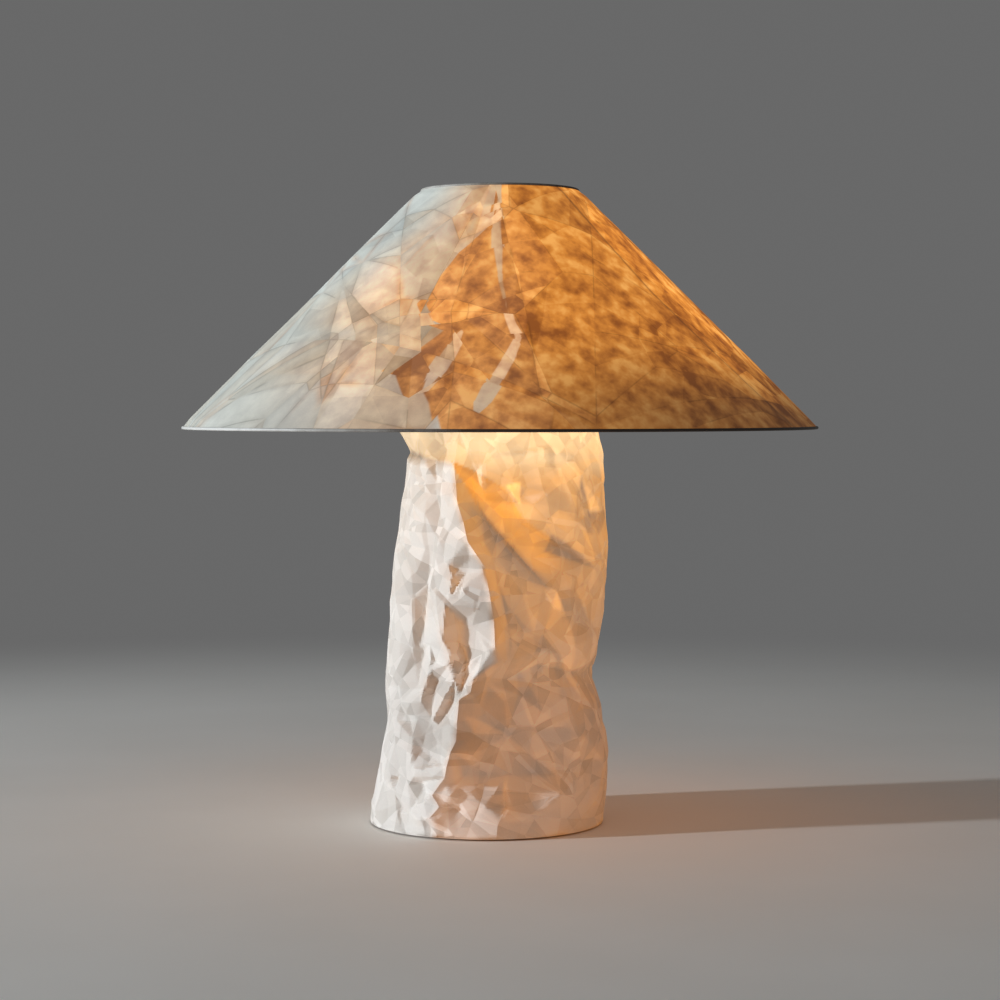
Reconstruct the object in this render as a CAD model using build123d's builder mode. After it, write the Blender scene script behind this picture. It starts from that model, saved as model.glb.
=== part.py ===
"""Paper table lamp: a conical paper shade that rests on a wire carrier, over a crumpled paper column.

Millimetres, +Z up. The origin is on the table, under the axis of the stem and the shade.
The lamp's front faces -Y and its cord inlet faces +Y.
"""

import os
from math import cos, hypot, pi, sin

from build123d import *

os.makedirs("parts", exist_ok=True)

# Shade: a paper cone between two wire rims
shade_diameter = 520.0
shade_top_diameter = 130.0
shade_height = 196.0
shade_lower_edge = 324.0
shade_sheet = 0.8
rim_wire = 2.4
glue_gap = 0.2

# Shade carrier: a ring of wire inside the cone, on arms that stand on a flat hub
carrier_wire = 3.0
carrier_below_top = 30.0
carrier_arm_count = 3
carrier_arm_bend = 16.0
carrier_elbow_radius = 62.0
hub_diameter = 72.0
hub_thickness = 1.5
rest_gap = 0.3

# Column: crumpled paper over a cage of wire
column_height = 342.0
column_sheet = 0.8
column_steps = 24
crumple_depth = 6.0
hem_lift = 1.0
cage_diameter = 135.8
cage_wire = 4.0
cage_strut_count = 6
cage_lower_level = 60.0
cage_middle_level = 185.0
strut_socket_depth = 5.0

# Facet rows up the column: share of the height above the hem, and how far the paper
# bulges past its tightest reach on the left and on the right
column_rows = (
    (0.070, 27.0, 13.0),
    (0.125, 25.0, 14.5),
    (0.180, 20.5, 15.0),
    (0.225, 16.5, 11.5),
    (0.280, 17.5, 8.0),
    (0.340, 18.5, 0.7),
    (0.410, 17.0, 9.5),
    (0.500, 15.5, 10.0),
    (0.595, 12.5, 11.0),
    (0.690, 9.0, 12.5),
    (0.795, 2.0, 12.5),
    (0.890, 0.0, 12.5),
    (0.945, 7.0, 6.5),
    (1.000, 9.5, 5.0),
)

# Base: a round board off the stem's axis, as the paper leans, with a steel weight on it
felt_thickness = 2.0
felt_inset = 3.0
board_diameter = 188.4
board_thickness = 14.0
board_offset = -11.0
board_edge_round = 1.5
pocket_diameter = 32.0
pocket_depth = 10.0
ballast_diameter = 112.0
ballast_thickness = 16.0
ballast_chamfer = 1.5

# Stem: a threaded tube inside a spacer tube
tube_diameter = 10.0
tube_bore = 7.0
tube_below_nut = 1.0
spacer_diameter = 16.0
spacer_wall = 2.4
thread_clearance = 0.05
slip_clearance = 0.3
nut_flats = 14.0
nut_thickness = 4.0
washer_diameter = 22.0
washer_thickness = 1.5

# Spider that carries the top of the cage
spider_level = 304.0
spider_thickness = 2.0
spider_hub_diameter = 28.0
spider_arm_width = 8.0

# Cord inlet: a bush in the rear edge of the board
gland_bore = 6.6
gland_body = 10.0
gland_flange = 14.0
gland_flange_thickness = 3.0
gland_depth = 12.0
passage_diameter = 7.0
notch_clearance = 0.4

# Lampholder with a threaded skirt and two shade rings
holder_diameter = 40.0
holder_wall = 2.4
cap_height = 20.0
cap_wall = 2.0
cap_neck_diameter = 18.0
cap_neck_height = 6.0
tube_into_cap = 9.0
skirt_height = 40.0
ledge_thickness = 2.0
ledge_bore = 30.0
insert_thickness = 9.0
insert_clearance = 0.2
screw_shell_bore = 27.5
screw_shell_wall = 0.5
screw_shell_height = 26.0
screw_shell_flange = 33.0
contact_width = 7.0
contact_length = 20.0
contact_sheet = 0.8
contact_rise = 2.6
terminal_spacing = 18.0
terminal_diameter = 3.0
terminal_head = 5.0
terminal_head_thickness = 2.0
terminal_depth = 6.0
grub_diameter = 3.0
grub_level = 3.0

# Shade rings on the skirt
ring_diameter = 56.0
ring_thickness = 6.0
ring_above_skirt_foot = 8.0
ring_flutes = 24
ring_flute_diameter = 2.4
ring_edge_round = 0.8
thread_running = 0.06

# Bulb with a screw cap
bulb_diameter = 60.0
bulb_length = 107.0
globe_wall = 1.4
globe_mouth_drop = 12.0
bulb_contact_diameter = 9.0
bulb_contact_thickness = 1.0
bulb_insulator_height = 3.2
bulb_insulator_top = 25.0
bulb_cap_diameter = 26.4
bulb_cap_wall = 0.6
bulb_cap_height = 21.0
housing_neck_diameter = 28.0
housing_neck_height = 4.0
housing_wall = 1.8
led_board_diameter = 44.0
led_board_thickness = 1.6
bulb_rest_gap = 0.2

# Levels that follow from the sizes above
board_bottom = felt_thickness
board_top = board_bottom + board_thickness
ballast_top = board_top + ballast_thickness
pocket_top = board_bottom + pocket_depth
nut_top = pocket_top - washer_thickness
nut_bottom = nut_top - nut_thickness
tube_bottom = nut_bottom - tube_below_nut
spider_top = spider_level + spider_thickness
cap_bottom = spider_top + nut_thickness
cap_top = cap_bottom + cap_height
tube_top = cap_bottom + tube_into_cap
skirt_top = cap_top + skirt_height
insert_bottom = cap_top + ledge_thickness
insert_top = insert_bottom + insert_thickness
lower_ring_bottom = cap_top + ring_above_skirt_foot
hub_bottom = lower_ring_bottom + ring_thickness + rest_gap / 3
hub_top = hub_bottom + hub_thickness
upper_ring_bottom = hub_top + rest_gap / 3
bulb_bottom = insert_top + contact_rise + bulb_rest_gap
gland_level = board_bottom + board_thickness / 2

# Radii that follow from the sizes above
cage_outer_radius = cage_diameter / 2 + cage_wire / 2
strut_circle = cage_diameter / 2 - cage_wire - glue_gap / 2
board_radius = board_diameter / 2
hem_apothem = board_radius + glue_gap + column_sheet
facet_widening = 1 / cos(pi / column_steps)
tightest_reach = (cage_outer_radius + rest_gap + column_sheet) * facet_widening
holder_bore_radius = holder_diameter / 2 - holder_wall


def save(piece, name):
    """Labels a finished piece and writes it to its own file."""
    piece.part.label = name
    export_step(piece.part, f"parts/{name}.step")


def turned(points):
    """Revolves a closed outline of (radius, height) points about the stem's axis."""
    with BuildSketch(Plane.XZ) as outline:
        with BuildLine():
            Polyline(*points, close=True)
        make_face()
    revolve(outline.sketch, axis=Axis.Z)


def wire_ring(radius, height, wire):
    """A closed ring of round wire about the stem's axis, given by its centre line."""
    with BuildSketch(Plane.XZ) as section:
        with Locations((radius, height)):
            Circle(wire / 2)
    revolve(section.sketch, axis=Axis.Z)


def sleeve(outer_diameter, bore_diameter, bottom, height):
    """A round tube, washer or disc with a hole, standing on its bottom level."""
    with BuildSketch(Plane.XY.offset(bottom)) as section:
        Circle(outer_diameter / 2)
        Circle(bore_diameter / 2, mode=Mode.SUBTRACT)
    extrude(section.sketch, amount=height)


def hex_nut(bottom):
    """A thin hexagon nut for the threaded tube."""
    with BuildSketch(Plane.XY.offset(bottom)) as section:
        RegularPolygon(nut_flats / 2, 6, major_radius=False)
        Circle(tube_diameter / 2 + thread_clearance, mode=Mode.SUBTRACT)
    extrude(section.sketch, amount=nut_thickness)


# Felt pad under the board
with BuildPart() as felt_pad:
    with BuildSketch() as felt_outline:
        with Locations((board_offset, 0)):
            Circle(board_radius - felt_inset)
    extrude(amount=felt_thickness)
save(felt_pad, "felt_pad")

# Base board with a pocket for the nut, sockets for the struts and a drilled cord passage
with BuildPart() as base_board:
    with BuildSketch(Plane.XY.offset(board_bottom)) as board_outline:
        with Locations((board_offset, 0)):
            Circle(board_radius)
    extrude(amount=board_thickness)
    fillet(base_board.edges().group_by(Axis.Z)[-1], board_edge_round)
    with BuildSketch(Plane.XY.offset(board_bottom)) as pocket_outline:
        Circle(pocket_diameter / 2)
    extrude(amount=pocket_depth, mode=Mode.SUBTRACT)
    with BuildSketch(Plane.XY.offset(board_bottom)) as stem_hole:
        Circle(tube_diameter / 2 + slip_clearance)
    extrude(amount=board_thickness, mode=Mode.SUBTRACT)
    with BuildSketch(Plane.XY.offset(board_top)) as sockets:
        with PolarLocations(strut_circle, cage_strut_count):
            Circle(cage_wire / 2 + glue_gap / 2)
    extrude(amount=-strut_socket_depth, mode=Mode.SUBTRACT)
    with BuildSketch(Plane.XZ.offset(-board_radius)) as passage:
        with Locations((board_offset, gland_level)):
            Circle(passage_diameter / 2)
    extrude(amount=board_radius, mode=Mode.SUBTRACT)
    with BuildSketch(Plane.XZ.offset(-board_radius)) as gland_seat:
        with Locations((board_offset, gland_level)):
            Circle(gland_body / 2 + glue_gap / 2)
    extrude(amount=gland_depth, mode=Mode.SUBTRACT)
save(base_board, "base_board")

# Steel weight on the board
with BuildPart() as ballast_plate:
    sleeve(ballast_diameter, tube_diameter + 2 * slip_clearance, board_top, ballast_thickness)
    chamfer(ballast_plate.edges().group_by(Axis.Z)[-1].sort_by(SortBy.LENGTH)[-1], ballast_chamfer)
save(ballast_plate, "ballast_plate")

# Washer and nut in the pocket
with BuildPart() as base_washer:
    sleeve(washer_diameter, tube_diameter + 2 * slip_clearance, nut_top, washer_thickness)
save(base_washer, "base_washer")

with BuildPart() as base_nut:
    hex_nut(nut_bottom)
save(base_nut, "base_nut")

# Threaded tube from the pocket to the inside of the lampholder's cap
with BuildPart() as threaded_tube:
    sleeve(tube_diameter, tube_bore, tube_bottom, tube_top - tube_bottom)
save(threaded_tube, "threaded_tube")

# Spacer tube between the weight and the spider
with BuildPart() as spacer_tube:
    sleeve(spacer_diameter, spacer_diameter - 2 * spacer_wall, ballast_top, spider_level - ballast_top)
save(spacer_tube, "spacer_tube")

# Cord inlet bush: its flange lies on the paper's hem, its body in the board
flange_face = hem_apothem + glue_gap / 2
with BuildPart() as cord_gland:
    with BuildSketch(Plane.XZ.offset(-flange_face)) as flange_outline:
        with Locations((board_offset, gland_level)):
            Circle(gland_flange / 2)
    extrude(amount=-gland_flange_thickness)
    with BuildSketch(Plane.XZ.offset(-flange_face)) as body_outline:
        with Locations((board_offset, gland_level)):
            Circle(gland_body / 2)
    extrude(amount=flange_face - board_radius + gland_depth)
    fillet(cord_gland.edges().group_by(Axis.Y)[-1], gland_flange_thickness / 3)
    with BuildSketch(Plane.XZ.offset(-flange_face - gland_flange_thickness)) as bore_outline:
        with Locations((board_offset, gland_level)):
            Circle(gland_bore / 2)
    extrude(amount=2 * gland_depth + gland_flange_thickness, mode=Mode.SUBTRACT)
save(cord_gland, "cord_gland")

# Wire cage: upright struts inside three rings
with BuildPart() as cage_struts:
    strut_bottom = board_top - strut_socket_depth
    with BuildSketch(Plane.XY.offset(strut_bottom)) as strut_sections:
        with PolarLocations(strut_circle, cage_strut_count):
            Circle(cage_wire / 2)
    extrude(amount=spider_level - glue_gap / 2 - strut_bottom)
save(cage_struts, "cage_struts")

cage_top_level = spider_top + cage_wire / 2 + glue_gap / 2
cage_ring_levels = {
    "cage_lower_ring": cage_lower_level,
    "cage_middle_ring": cage_middle_level,
    "cage_top_ring": cage_top_level,
}
for ring_name, ring_level in cage_ring_levels.items():
    with BuildPart() as cage_ring:
        wire_ring(cage_diameter / 2, ring_level, cage_wire)
    save(cage_ring, ring_name)

# Spider: a flat hub with one arm over each strut
with BuildPart() as cage_spider:
    with BuildSketch(Plane.XY.offset(spider_level)) as spider_outline:
        Circle(spider_hub_diameter / 2)
        with PolarLocations(0, cage_strut_count):
            Rectangle(cage_diameter / 2, spider_arm_width, align=(Align.MIN, Align.CENTER))
        Circle(tube_diameter / 2 + slip_clearance, mode=Mode.SUBTRACT)
    extrude(amount=spider_thickness)
save(cage_spider, "cage_spider")

with BuildPart() as spider_nut:
    hex_nut(spider_top)
save(spider_nut, "spider_nut")

# Crumpled paper column
hem_top = board_top
facet_step = 2 * pi / column_steps
hem_radius = hem_apothem * facet_widening
facet_rows = [
    (hem_lift, hem_radius - board_offset, hem_radius + board_offset),
    (hem_top, hem_radius - board_offset, hem_radius + board_offset),
]
facet_rows += [
    (hem_top + share * (column_height - hem_top), tightest_reach + left, tightest_reach + right)
    for share, left, right in column_rows
]


def crumple(row, step):
    """A repeatable scatter from 0 to 1 for one facet corner, none on the hem."""
    scatter = sin(12.9898 * row + 78.233 * (step % column_steps)) * 43758.5453
    return scatter % 1 if row > 1 else 0


def facet_corner(row, step, inset):
    """A corner of a paper facet: each row above the hem turns by half a step, so the facets
    are triangles, and inset moves the corner in from the paper's outer face."""
    height, left, right = facet_rows[row]
    turn = (step + 0.5 * max(row, 1)) * facet_step
    reach = (left + right) / 2 + crumple_depth * crumple(row, step) - inset
    return Vector((right - left) / 2 + reach * cos(turn), reach * sin(turn), height)


def paper_skin(inset):
    """The facets of one face of the paper, from the hem to the top edge."""
    skin = []
    for step in range(column_steps):
        band = [(0, step), (0, step + 1), (1, step + 1), (1, step)]
        skin.append(Face(Wire.make_polygon([facet_corner(*at, inset) for at in band])))
        for row in range(1, len(facet_rows) - 1):
            upright = [(row, step), (row, step + 1), (row + 1, step)]
            hanging = [(row + 1, step), (row, step + 1), (row + 1, step + 1)]
            for corners in (upright, hanging):
                skin.append(Face(Wire.make_polygon([facet_corner(*at, inset) for at in corners])))
    return skin


def paper_edge(row):
    """The cut edge of the paper along one level row, between its outer and inner face."""
    edge = []
    for step in range(column_steps):
        ends = [(step, 0), (step + 1, 0), (step + 1, column_sheet), (step, column_sheet)]
        edge.append(Face(Wire.make_polygon([facet_corner(row, *at) for at in ends])))
    return edge


top_row = len(facet_rows) - 1
column_skins = paper_skin(0) + paper_skin(column_sheet) + paper_edge(0) + paper_edge(top_row)
with BuildPart() as paper_column:
    add(Solid(Shell(column_skins)))
    notch_width = gland_body + 2 * notch_clearance
    with BuildSketch(Plane.XZ.offset(-board_radius)) as notch_outline:
        with Locations((board_offset, gland_level)):
            Circle(notch_width / 2)
            Rectangle(notch_width, gland_level, align=(Align.CENTER, Align.MAX))
    extrude(amount=-(hem_radius - board_radius + gland_flange_thickness), mode=Mode.SUBTRACT)
save(paper_column, "paper_column")

# Lampholder cap on the threaded tube
neck_radius = cap_neck_diameter / 2
tube_fit_radius = tube_diameter / 2 + thread_clearance
cap_radius = holder_diameter / 2
cap_shoulder = cap_bottom + cap_neck_height + (cap_radius - neck_radius) / 2
with BuildPart() as lampholder_cap:
    turned(
        (
            (tube_fit_radius, cap_bottom),
            (neck_radius, cap_bottom),
            (neck_radius, cap_bottom + cap_neck_height),
            (cap_radius, cap_shoulder),
            (cap_radius, cap_top),
            (cap_radius - cap_wall, cap_top),
            (cap_radius - cap_wall, cap_shoulder + cap_wall),
            (neck_radius, cap_bottom + cap_neck_height + cap_wall),
            (tube_fit_radius, cap_bottom + cap_neck_height + cap_wall),
        )
    )
    with BuildSketch(Plane.YZ) as grub_hole:
        with Locations((0, cap_bottom + grub_level)):
            Circle(grub_diameter / 2 + thread_clearance)
    extrude(amount=cap_radius, mode=Mode.SUBTRACT)
save(lampholder_cap, "lampholder_cap")

# Grub screw that locks the cap on the tube
with BuildPart() as cap_grub_screw:
    with BuildSketch(Plane.YZ.offset(tube_diameter / 2 + glue_gap)) as grub_section:
        with Locations((0, cap_bottom + grub_level)):
            Circle(grub_diameter / 2)
    extrude(amount=neck_radius - tube_diameter / 2)
save(cap_grub_screw, "cap_grub_screw")

# Lampholder skirt: the shade rings screw onto its outside, and a ledge inside it carries the insert
with BuildPart() as lampholder_skirt:
    sleeve(holder_diameter, 2 * holder_bore_radius, cap_top, skirt_height)
    sleeve(2 * holder_bore_radius, ledge_bore, cap_top, ledge_thickness)
save(lampholder_skirt, "lampholder_skirt")

# Insulating insert with two terminal holes
insert_radius = holder_bore_radius - insert_clearance
with BuildPart() as lampholder_insert:
    with BuildSketch(Plane.XY.offset(insert_bottom)) as insert_outline:
        Circle(insert_radius)
    extrude(amount=insert_thickness)
    with BuildSketch(Plane.XY.offset(insert_bottom)) as terminal_holes:
        with GridLocations(0, terminal_spacing, 1, 2):
            Circle(terminal_diameter / 2 + thread_clearance)
    extrude(amount=terminal_depth + glue_gap, mode=Mode.SUBTRACT)
save(lampholder_insert, "lampholder_insert")

with BuildPart() as terminal_screws:
    with BuildSketch(Plane.XY.offset(insert_bottom)) as terminal_shanks:
        with GridLocations(0, terminal_spacing, 1, 2):
            Circle(terminal_diameter / 2)
    extrude(amount=terminal_depth)
    with BuildSketch(Plane.XY.offset(insert_bottom)) as terminal_heads:
        with GridLocations(0, terminal_spacing, 1, 2):
            Circle(terminal_head / 2)
    extrude(amount=-terminal_head_thickness)
save(terminal_screws, "terminal_screws")

# Screw shell that takes the bulb's cap
with BuildPart() as screw_shell:
    sleeve(screw_shell_bore + 2 * screw_shell_wall, screw_shell_bore, insert_top, screw_shell_height)
    sleeve(screw_shell_flange, screw_shell_bore, insert_top, contact_sheet)
save(screw_shell, "screw_shell")

# Centre contact: a strip of spring sheet, folded back over itself
contact_end = contact_length / 2
contact_top = insert_top + contact_rise
with BuildPart() as centre_contact:
    with BuildSketch(Plane.XZ) as contact_strip:
        with BuildLine():
            Polyline(
                (contact_end, insert_top),
                (-contact_end, insert_top),
                (-contact_end, insert_top + contact_sheet),
                (-contact_end / 2, contact_top),
                (contact_end / 2, contact_top),
                (contact_end / 2, contact_top - contact_sheet),
                (-contact_end / 2, contact_top - contact_sheet),
                (-contact_end + contact_sheet, insert_top + contact_sheet),
                (contact_end, insert_top + contact_sheet),
                close=True,
            )
        make_face()
    extrude(amount=contact_width / 2, both=True)
save(centre_contact, "centre_contact")

# Two fluted shade rings: the hub of the carrier is held between them
shade_ring_levels = {"lower_shade_ring": lower_ring_bottom, "upper_shade_ring": upper_ring_bottom}
for ring_name, ring_bottom in shade_ring_levels.items():
    with BuildPart() as shade_ring:
        sleeve(ring_diameter, holder_diameter + 2 * thread_running, ring_bottom, ring_thickness)
        fillet(shade_ring.edges().sort_by(SortBy.LENGTH)[-2:], ring_edge_round)
        with BuildSketch(Plane.XY.offset(ring_bottom)) as flutes:
            with PolarLocations(ring_diameter / 2, ring_flutes):
                Circle(ring_flute_diameter / 2)
        extrude(amount=ring_thickness, mode=Mode.SUBTRACT)
    save(shade_ring, ring_name)

# Cone of the shade: its slant runs between the centres of the two rim wires
rim_radius = rim_wire / 2
rim_low = Vector(shade_diameter / 2 - rim_radius, 0, shade_lower_edge + rim_radius)
rim_high = Vector(shade_top_diameter / 2 - rim_radius, 0, shade_lower_edge + shade_height - rim_radius)
slant = (rim_high - rim_low).normalized()
outward = Vector(slant.Z, 0, -slant.X)
cone_low = rim_low + slant * (rim_radius + glue_gap)
cone_high = rim_high - slant * (rim_radius + glue_gap)
half_paper = outward * (shade_sheet / 2)
outer_corners = (cone_low + half_paper, cone_high + half_paper)
inner_corners = (cone_high - half_paper, cone_low - half_paper)
with BuildPart() as shade_paper:
    turned([(corner.X, corner.Z) for corner in outer_corners + inner_corners])
save(shade_paper, "shade_paper")

for rim_name, rim_centre in {"shade_lower_rim": rim_low, "shade_upper_rim": rim_high}.items():
    with BuildPart() as shade_rim:
        wire_ring(rim_centre.X, rim_centre.Z, rim_wire)
    save(shade_rim, rim_name)

# Carrier ring: it lies against the inside of the cone, a little below the top
carrier_radius = carrier_wire / 2
carrier_inset = shade_sheet / 2 + rest_gap + carrier_radius
carrier_centre = rim_high - slant * carrier_below_top - outward * carrier_inset
with BuildPart() as carrier_ring:
    wire_ring(carrier_centre.X, carrier_centre.Z, carrier_wire)
save(carrier_ring, "carrier_ring")

# Carrier hub: a flat ring between the two shade rings
with BuildPart() as carrier_hub:
    sleeve(hub_diameter, holder_diameter + 2 * slip_clearance, hub_bottom, hub_thickness)
save(carrier_hub, "carrier_hub")

# Carrier arms: each lies on the hub, bends up at its elbow and ends under the ring
arm_level = hub_top + glue_gap / 2 + carrier_radius
arm_start = (ring_diameter / 2 + carrier_wire, arm_level)
arm_elbow = (carrier_elbow_radius, arm_level)
arm_rise = hypot(carrier_centre.X - arm_elbow[0], carrier_centre.Z - arm_elbow[1])
arm_share = 1 - (carrier_radius + glue_gap) / arm_rise
arm_end = (
    arm_elbow[0] + (carrier_centre.X - arm_elbow[0]) * arm_share,
    arm_elbow[1] + (carrier_centre.Z - arm_elbow[1]) * arm_share,
)
with BuildPart() as carrier_arm:
    with BuildLine(Plane.XZ) as arm_path:
        FilletPolyline(arm_start, arm_elbow, arm_end, radius=carrier_arm_bend)
    with BuildSketch(Plane(origin=arm_path.line @ 0, z_dir=arm_path.line % 0)) as arm_section:
        Circle(carrier_radius)
    sweep()
with BuildPart() as carrier_arms:
    with PolarLocations(0, carrier_arm_count, start_angle=90):
        add(carrier_arm.part)
save(carrier_arms, "carrier_arms")

# Bulb: contact, insulator, screw cap, housing, light board and globe
insulator_bottom = bulb_bottom + bulb_contact_thickness
bulb_cap_bottom = insulator_bottom + bulb_insulator_height
housing_bottom = bulb_cap_bottom + bulb_cap_height
globe_centre = bulb_bottom + bulb_length - bulb_diameter / 2
housing_top = globe_centre - globe_mouth_drop
globe_radius = bulb_diameter / 2
globe_mouth_radius = (globe_radius**2 - globe_mouth_drop**2) ** 0.5

with BuildPart() as bulb_contact:
    with BuildSketch(Plane.XY.offset(bulb_bottom)) as contact_outline:
        Circle(bulb_contact_diameter / 2)
    extrude(amount=bulb_contact_thickness)
save(bulb_contact, "bulb_contact")

with BuildPart() as bulb_insulator:
    turned(
        (
            (0, insulator_bottom),
            (bulb_contact_diameter / 2, insulator_bottom),
            (bulb_insulator_top / 2, bulb_cap_bottom),
            (0, bulb_cap_bottom),
        )
    )
save(bulb_insulator, "bulb_insulator")

with BuildPart() as bulb_cap:
    sleeve(bulb_cap_diameter, bulb_cap_diameter - 2 * bulb_cap_wall, bulb_cap_bottom, bulb_cap_height)
save(bulb_cap, "bulb_cap")

with BuildPart() as bulb_housing:
    neck = housing_neck_diameter / 2
    neck_top = housing_bottom + housing_neck_height
    flare_middle = (globe_mouth_radius * 0.45 + neck * 0.55, (neck_top + housing_top) / 2)
    with BuildSketch(Plane.XZ) as housing_outline:
        with BuildLine():
            Polyline((0, housing_top), (0, housing_bottom), (neck, housing_bottom), (neck, neck_top))
            ThreePointArc((neck, neck_top), flare_middle, (globe_mouth_radius, housing_top))
            Line((globe_mouth_radius, housing_top), (0, housing_top))
        make_face()
    revolve(axis=Axis.Z)
    offset(amount=-housing_wall, openings=bulb_housing.faces().sort_by(Axis.Z)[0])
save(bulb_housing, "bulb_housing")

with BuildPart() as bulb_led_board:
    with BuildSketch(Plane.XY.offset(housing_top)) as led_outline:
        Circle(led_board_diameter / 2)
    extrude(amount=led_board_thickness)
save(bulb_led_board, "bulb_led_board")

with BuildPart() as bulb_globe:
    with Locations((0, 0, globe_centre)):
        Sphere(globe_radius)
        Sphere(globe_radius - globe_wall, mode=Mode.SUBTRACT)
    split(bisect_by=Plane.XY.offset(housing_top), keep=Keep.TOP)
save(bulb_globe, "bulb_globe")
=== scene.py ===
"""Paper table lamp: the crumpled papers, the finishes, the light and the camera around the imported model.

Metres, +Z up, the lamp's front to -Y. A turn is an angle about the stem, counted from +X towards +Y,
so 180 is the lamp's left as the camera sees it, 270 its front and 360 its right.
"""

from math import cos, hypot, pi, radians, sin

import bpy
import numpy as np
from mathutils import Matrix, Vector
from mathutils.geometry import delaunay_2d_cdt


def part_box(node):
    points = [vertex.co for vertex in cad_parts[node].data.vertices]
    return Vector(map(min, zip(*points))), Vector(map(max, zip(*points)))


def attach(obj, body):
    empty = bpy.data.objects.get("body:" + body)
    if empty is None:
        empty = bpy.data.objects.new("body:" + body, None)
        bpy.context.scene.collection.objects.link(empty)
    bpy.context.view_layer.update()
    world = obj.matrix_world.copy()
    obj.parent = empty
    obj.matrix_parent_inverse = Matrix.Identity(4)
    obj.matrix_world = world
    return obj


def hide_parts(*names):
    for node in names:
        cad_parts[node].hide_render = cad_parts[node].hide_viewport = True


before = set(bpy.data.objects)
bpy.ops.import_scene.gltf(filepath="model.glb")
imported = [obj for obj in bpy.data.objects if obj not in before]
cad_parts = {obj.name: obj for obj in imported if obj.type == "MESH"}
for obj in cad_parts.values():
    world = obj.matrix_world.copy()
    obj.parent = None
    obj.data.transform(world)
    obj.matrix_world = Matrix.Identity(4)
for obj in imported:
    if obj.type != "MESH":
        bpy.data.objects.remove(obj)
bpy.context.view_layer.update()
MM = 0.001

# Camera and light
CAMERA_DISTANCE = 1.9766
CAMERA_HEIGHT = 0.344
CAMERA_PITCH = radians(2.28)
CAMERA_LENS = 86.4
SENSOR_WIDTH = 36.0
KEY_TURN = radians(194)
KEY_ELEVATION = radians(8.5)
KEY_DISTANCE = 4.0
KEY_AIM_HEIGHT = 0.25
KEY_SIZE = 0.16
KEY_POWER = 115.0
KEY_COLOUR = (0.915, 0.985, 1.035)
SKY_COLOUR = (0.14, 0.14, 0.14, 1)
BULB_POWER = 1.1
BULB_COLOUR = (1.0, 0.56, 0.22)
# The floor: half its width, its level, how far out it is pale, and from where on it is grey
FLOOR_REACH = 9.0
FLOOR_LEVEL = -0.4 * MM
FLOOR_PALE, FLOOR_GREY = 0.75, 1.7

# Crumpling: how many times the paper is folded over, the key of the scatter, the share of the wad at
# which a fold may lie, after how many folds the broad, middle and small facets and the patches are read
# off, the direction that the folded paper is read along, what each fold adds to a facet's tone, and the
# least angle of a crease
FOLD_COUNT = 21
FOLD_KEY = 8
FOLD_LEAST, FOLD_SPAN = 0.38, 0.34
BROAD_FOLDS, MIDDLE_FOLDS, SMALL_FOLDS = 8, 14, 18
PATCH_FOLDS = 11
FOLD_READING = np.array([0.48, 0.62, 0.62])
TONE_STEP = 0.618
CREASE_ANGLE = radians(10)
# The relief of the papers' fibres, and the relief and the drift in gloss that handling leaves elsewhere
FIBRE_RELIEF = 0.02 * MM
HANDLING_RELIEF = 0.3 * MM
GLOSS_DRIFT = 0.16

# Paper column: reach to the left and to the right of the stem at a few heights, in millimetres, and the
# steps and rows of its grid
COLUMN_HEIGHTS = (0, 16, 24, 57, 76, 90, 125, 152, 205, 242, 275, 304, 324, 342)
COLUMN_LEFT = (107.3, 106.2, 104.6, 100, 95, 93.5, 93, 91.5, 87.5, 82.5, 76.5, 74.5, 84.5, 88)
COLUMN_RIGHT = (85.3, 85.6, 86.5, 88.5, 88.5, 86, 79, 83, 84, 84, 84.5, 86, 81, 79.5)
COLUMN_STEPS = 372
COLUMN_ROWS = 196
# The radius at which it is unrolled, the share of its broad, middle and small facets, and the paper at
# its edges and, with its backing, in between
COLUMN_RADIUS = 86.0
COLUMN_CRUMPLE = (0.03, 0.10, 0.16)
PAPER_THICKNESS = 0.8
PAPER_BACKING = 2.2
# What it stays outside of: the cage, and the base board with some room that tapers off above the board
CAGE_REACH = 72.4
BOARD_ROOM, BOARD_TAPER, BOARD_MARGIN = 1.2, 1.2, 1.5
# Where it changes, from one value to the other: turns in degrees, heights in millimetres, or degrees
# past the ridge
RIDGE_PULL = (0, 80)
LIT_TURNS = (110, 150)
LIT_END = (-3, 3)
PRESSED_PAST = (-0.5, 6)
FRONT_PAST, FRONT_END = (0, 8), (325, 358)
HEM_FOLDED, HEM_CRUMPLED, HEM_CALM, FULLY_CRUMPLED = (1, 20), (2, 18), (0.5, 4), (18, 60)
BACKING_ABOVE_BOARD, BACKING_BELOW_TOP = (2, 24), (0, 12)
# Its collar, which begins a little higher on the left
COLLAR_LEVEL = 298.0
COLLAR_LEFT_RISE = 8
COLLAR_LEFT_END = (195, 240)
COLLAR_START = (-3, 3)
COLLAR_LOOSE = (-2, 8)
# How much less crumpled the lit side, the front and the collar are
LIT_CALM, FRONT_CALM, COLLAR_CALM = 0.45, 0.5, 0.45
# The lamp's light through it, with painted light and shade: the glow is turned down on the lit side and
# up in its shaded hollows, where it is softened, facets that lean are painted lighter or darker, and the
# side of the collar is a little dimmer
LIT_LOSS, HOLLOW_GAIN = 0.80, 1.08
HOLLOW_DEPTH, HOLLOW_SLOPE, HOLLOW_TOP = (1, 6), (0.3, 0.9), (268, 292)
HOLLOW_TURNS, HOLLOW_LEAST = (226, 240), 0.26
HOLLOW_SHARP, HOLLOW_SOFT = 0.45, 0.75
HOLLOW_ACROSS, HOLLOW_UP, HOLLOW_LEAN_MOST = 0.45, 0.35, 0.45
SOFTENINGS = 14
LEAN_ACROSS, LEAN_UP = 0.9, 1.0
COLLAR_SIDE, COLLAR_SIDE_END, COLLAR_SIDE_LOSS = (150, 180), (230, 256), 0.27
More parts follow.
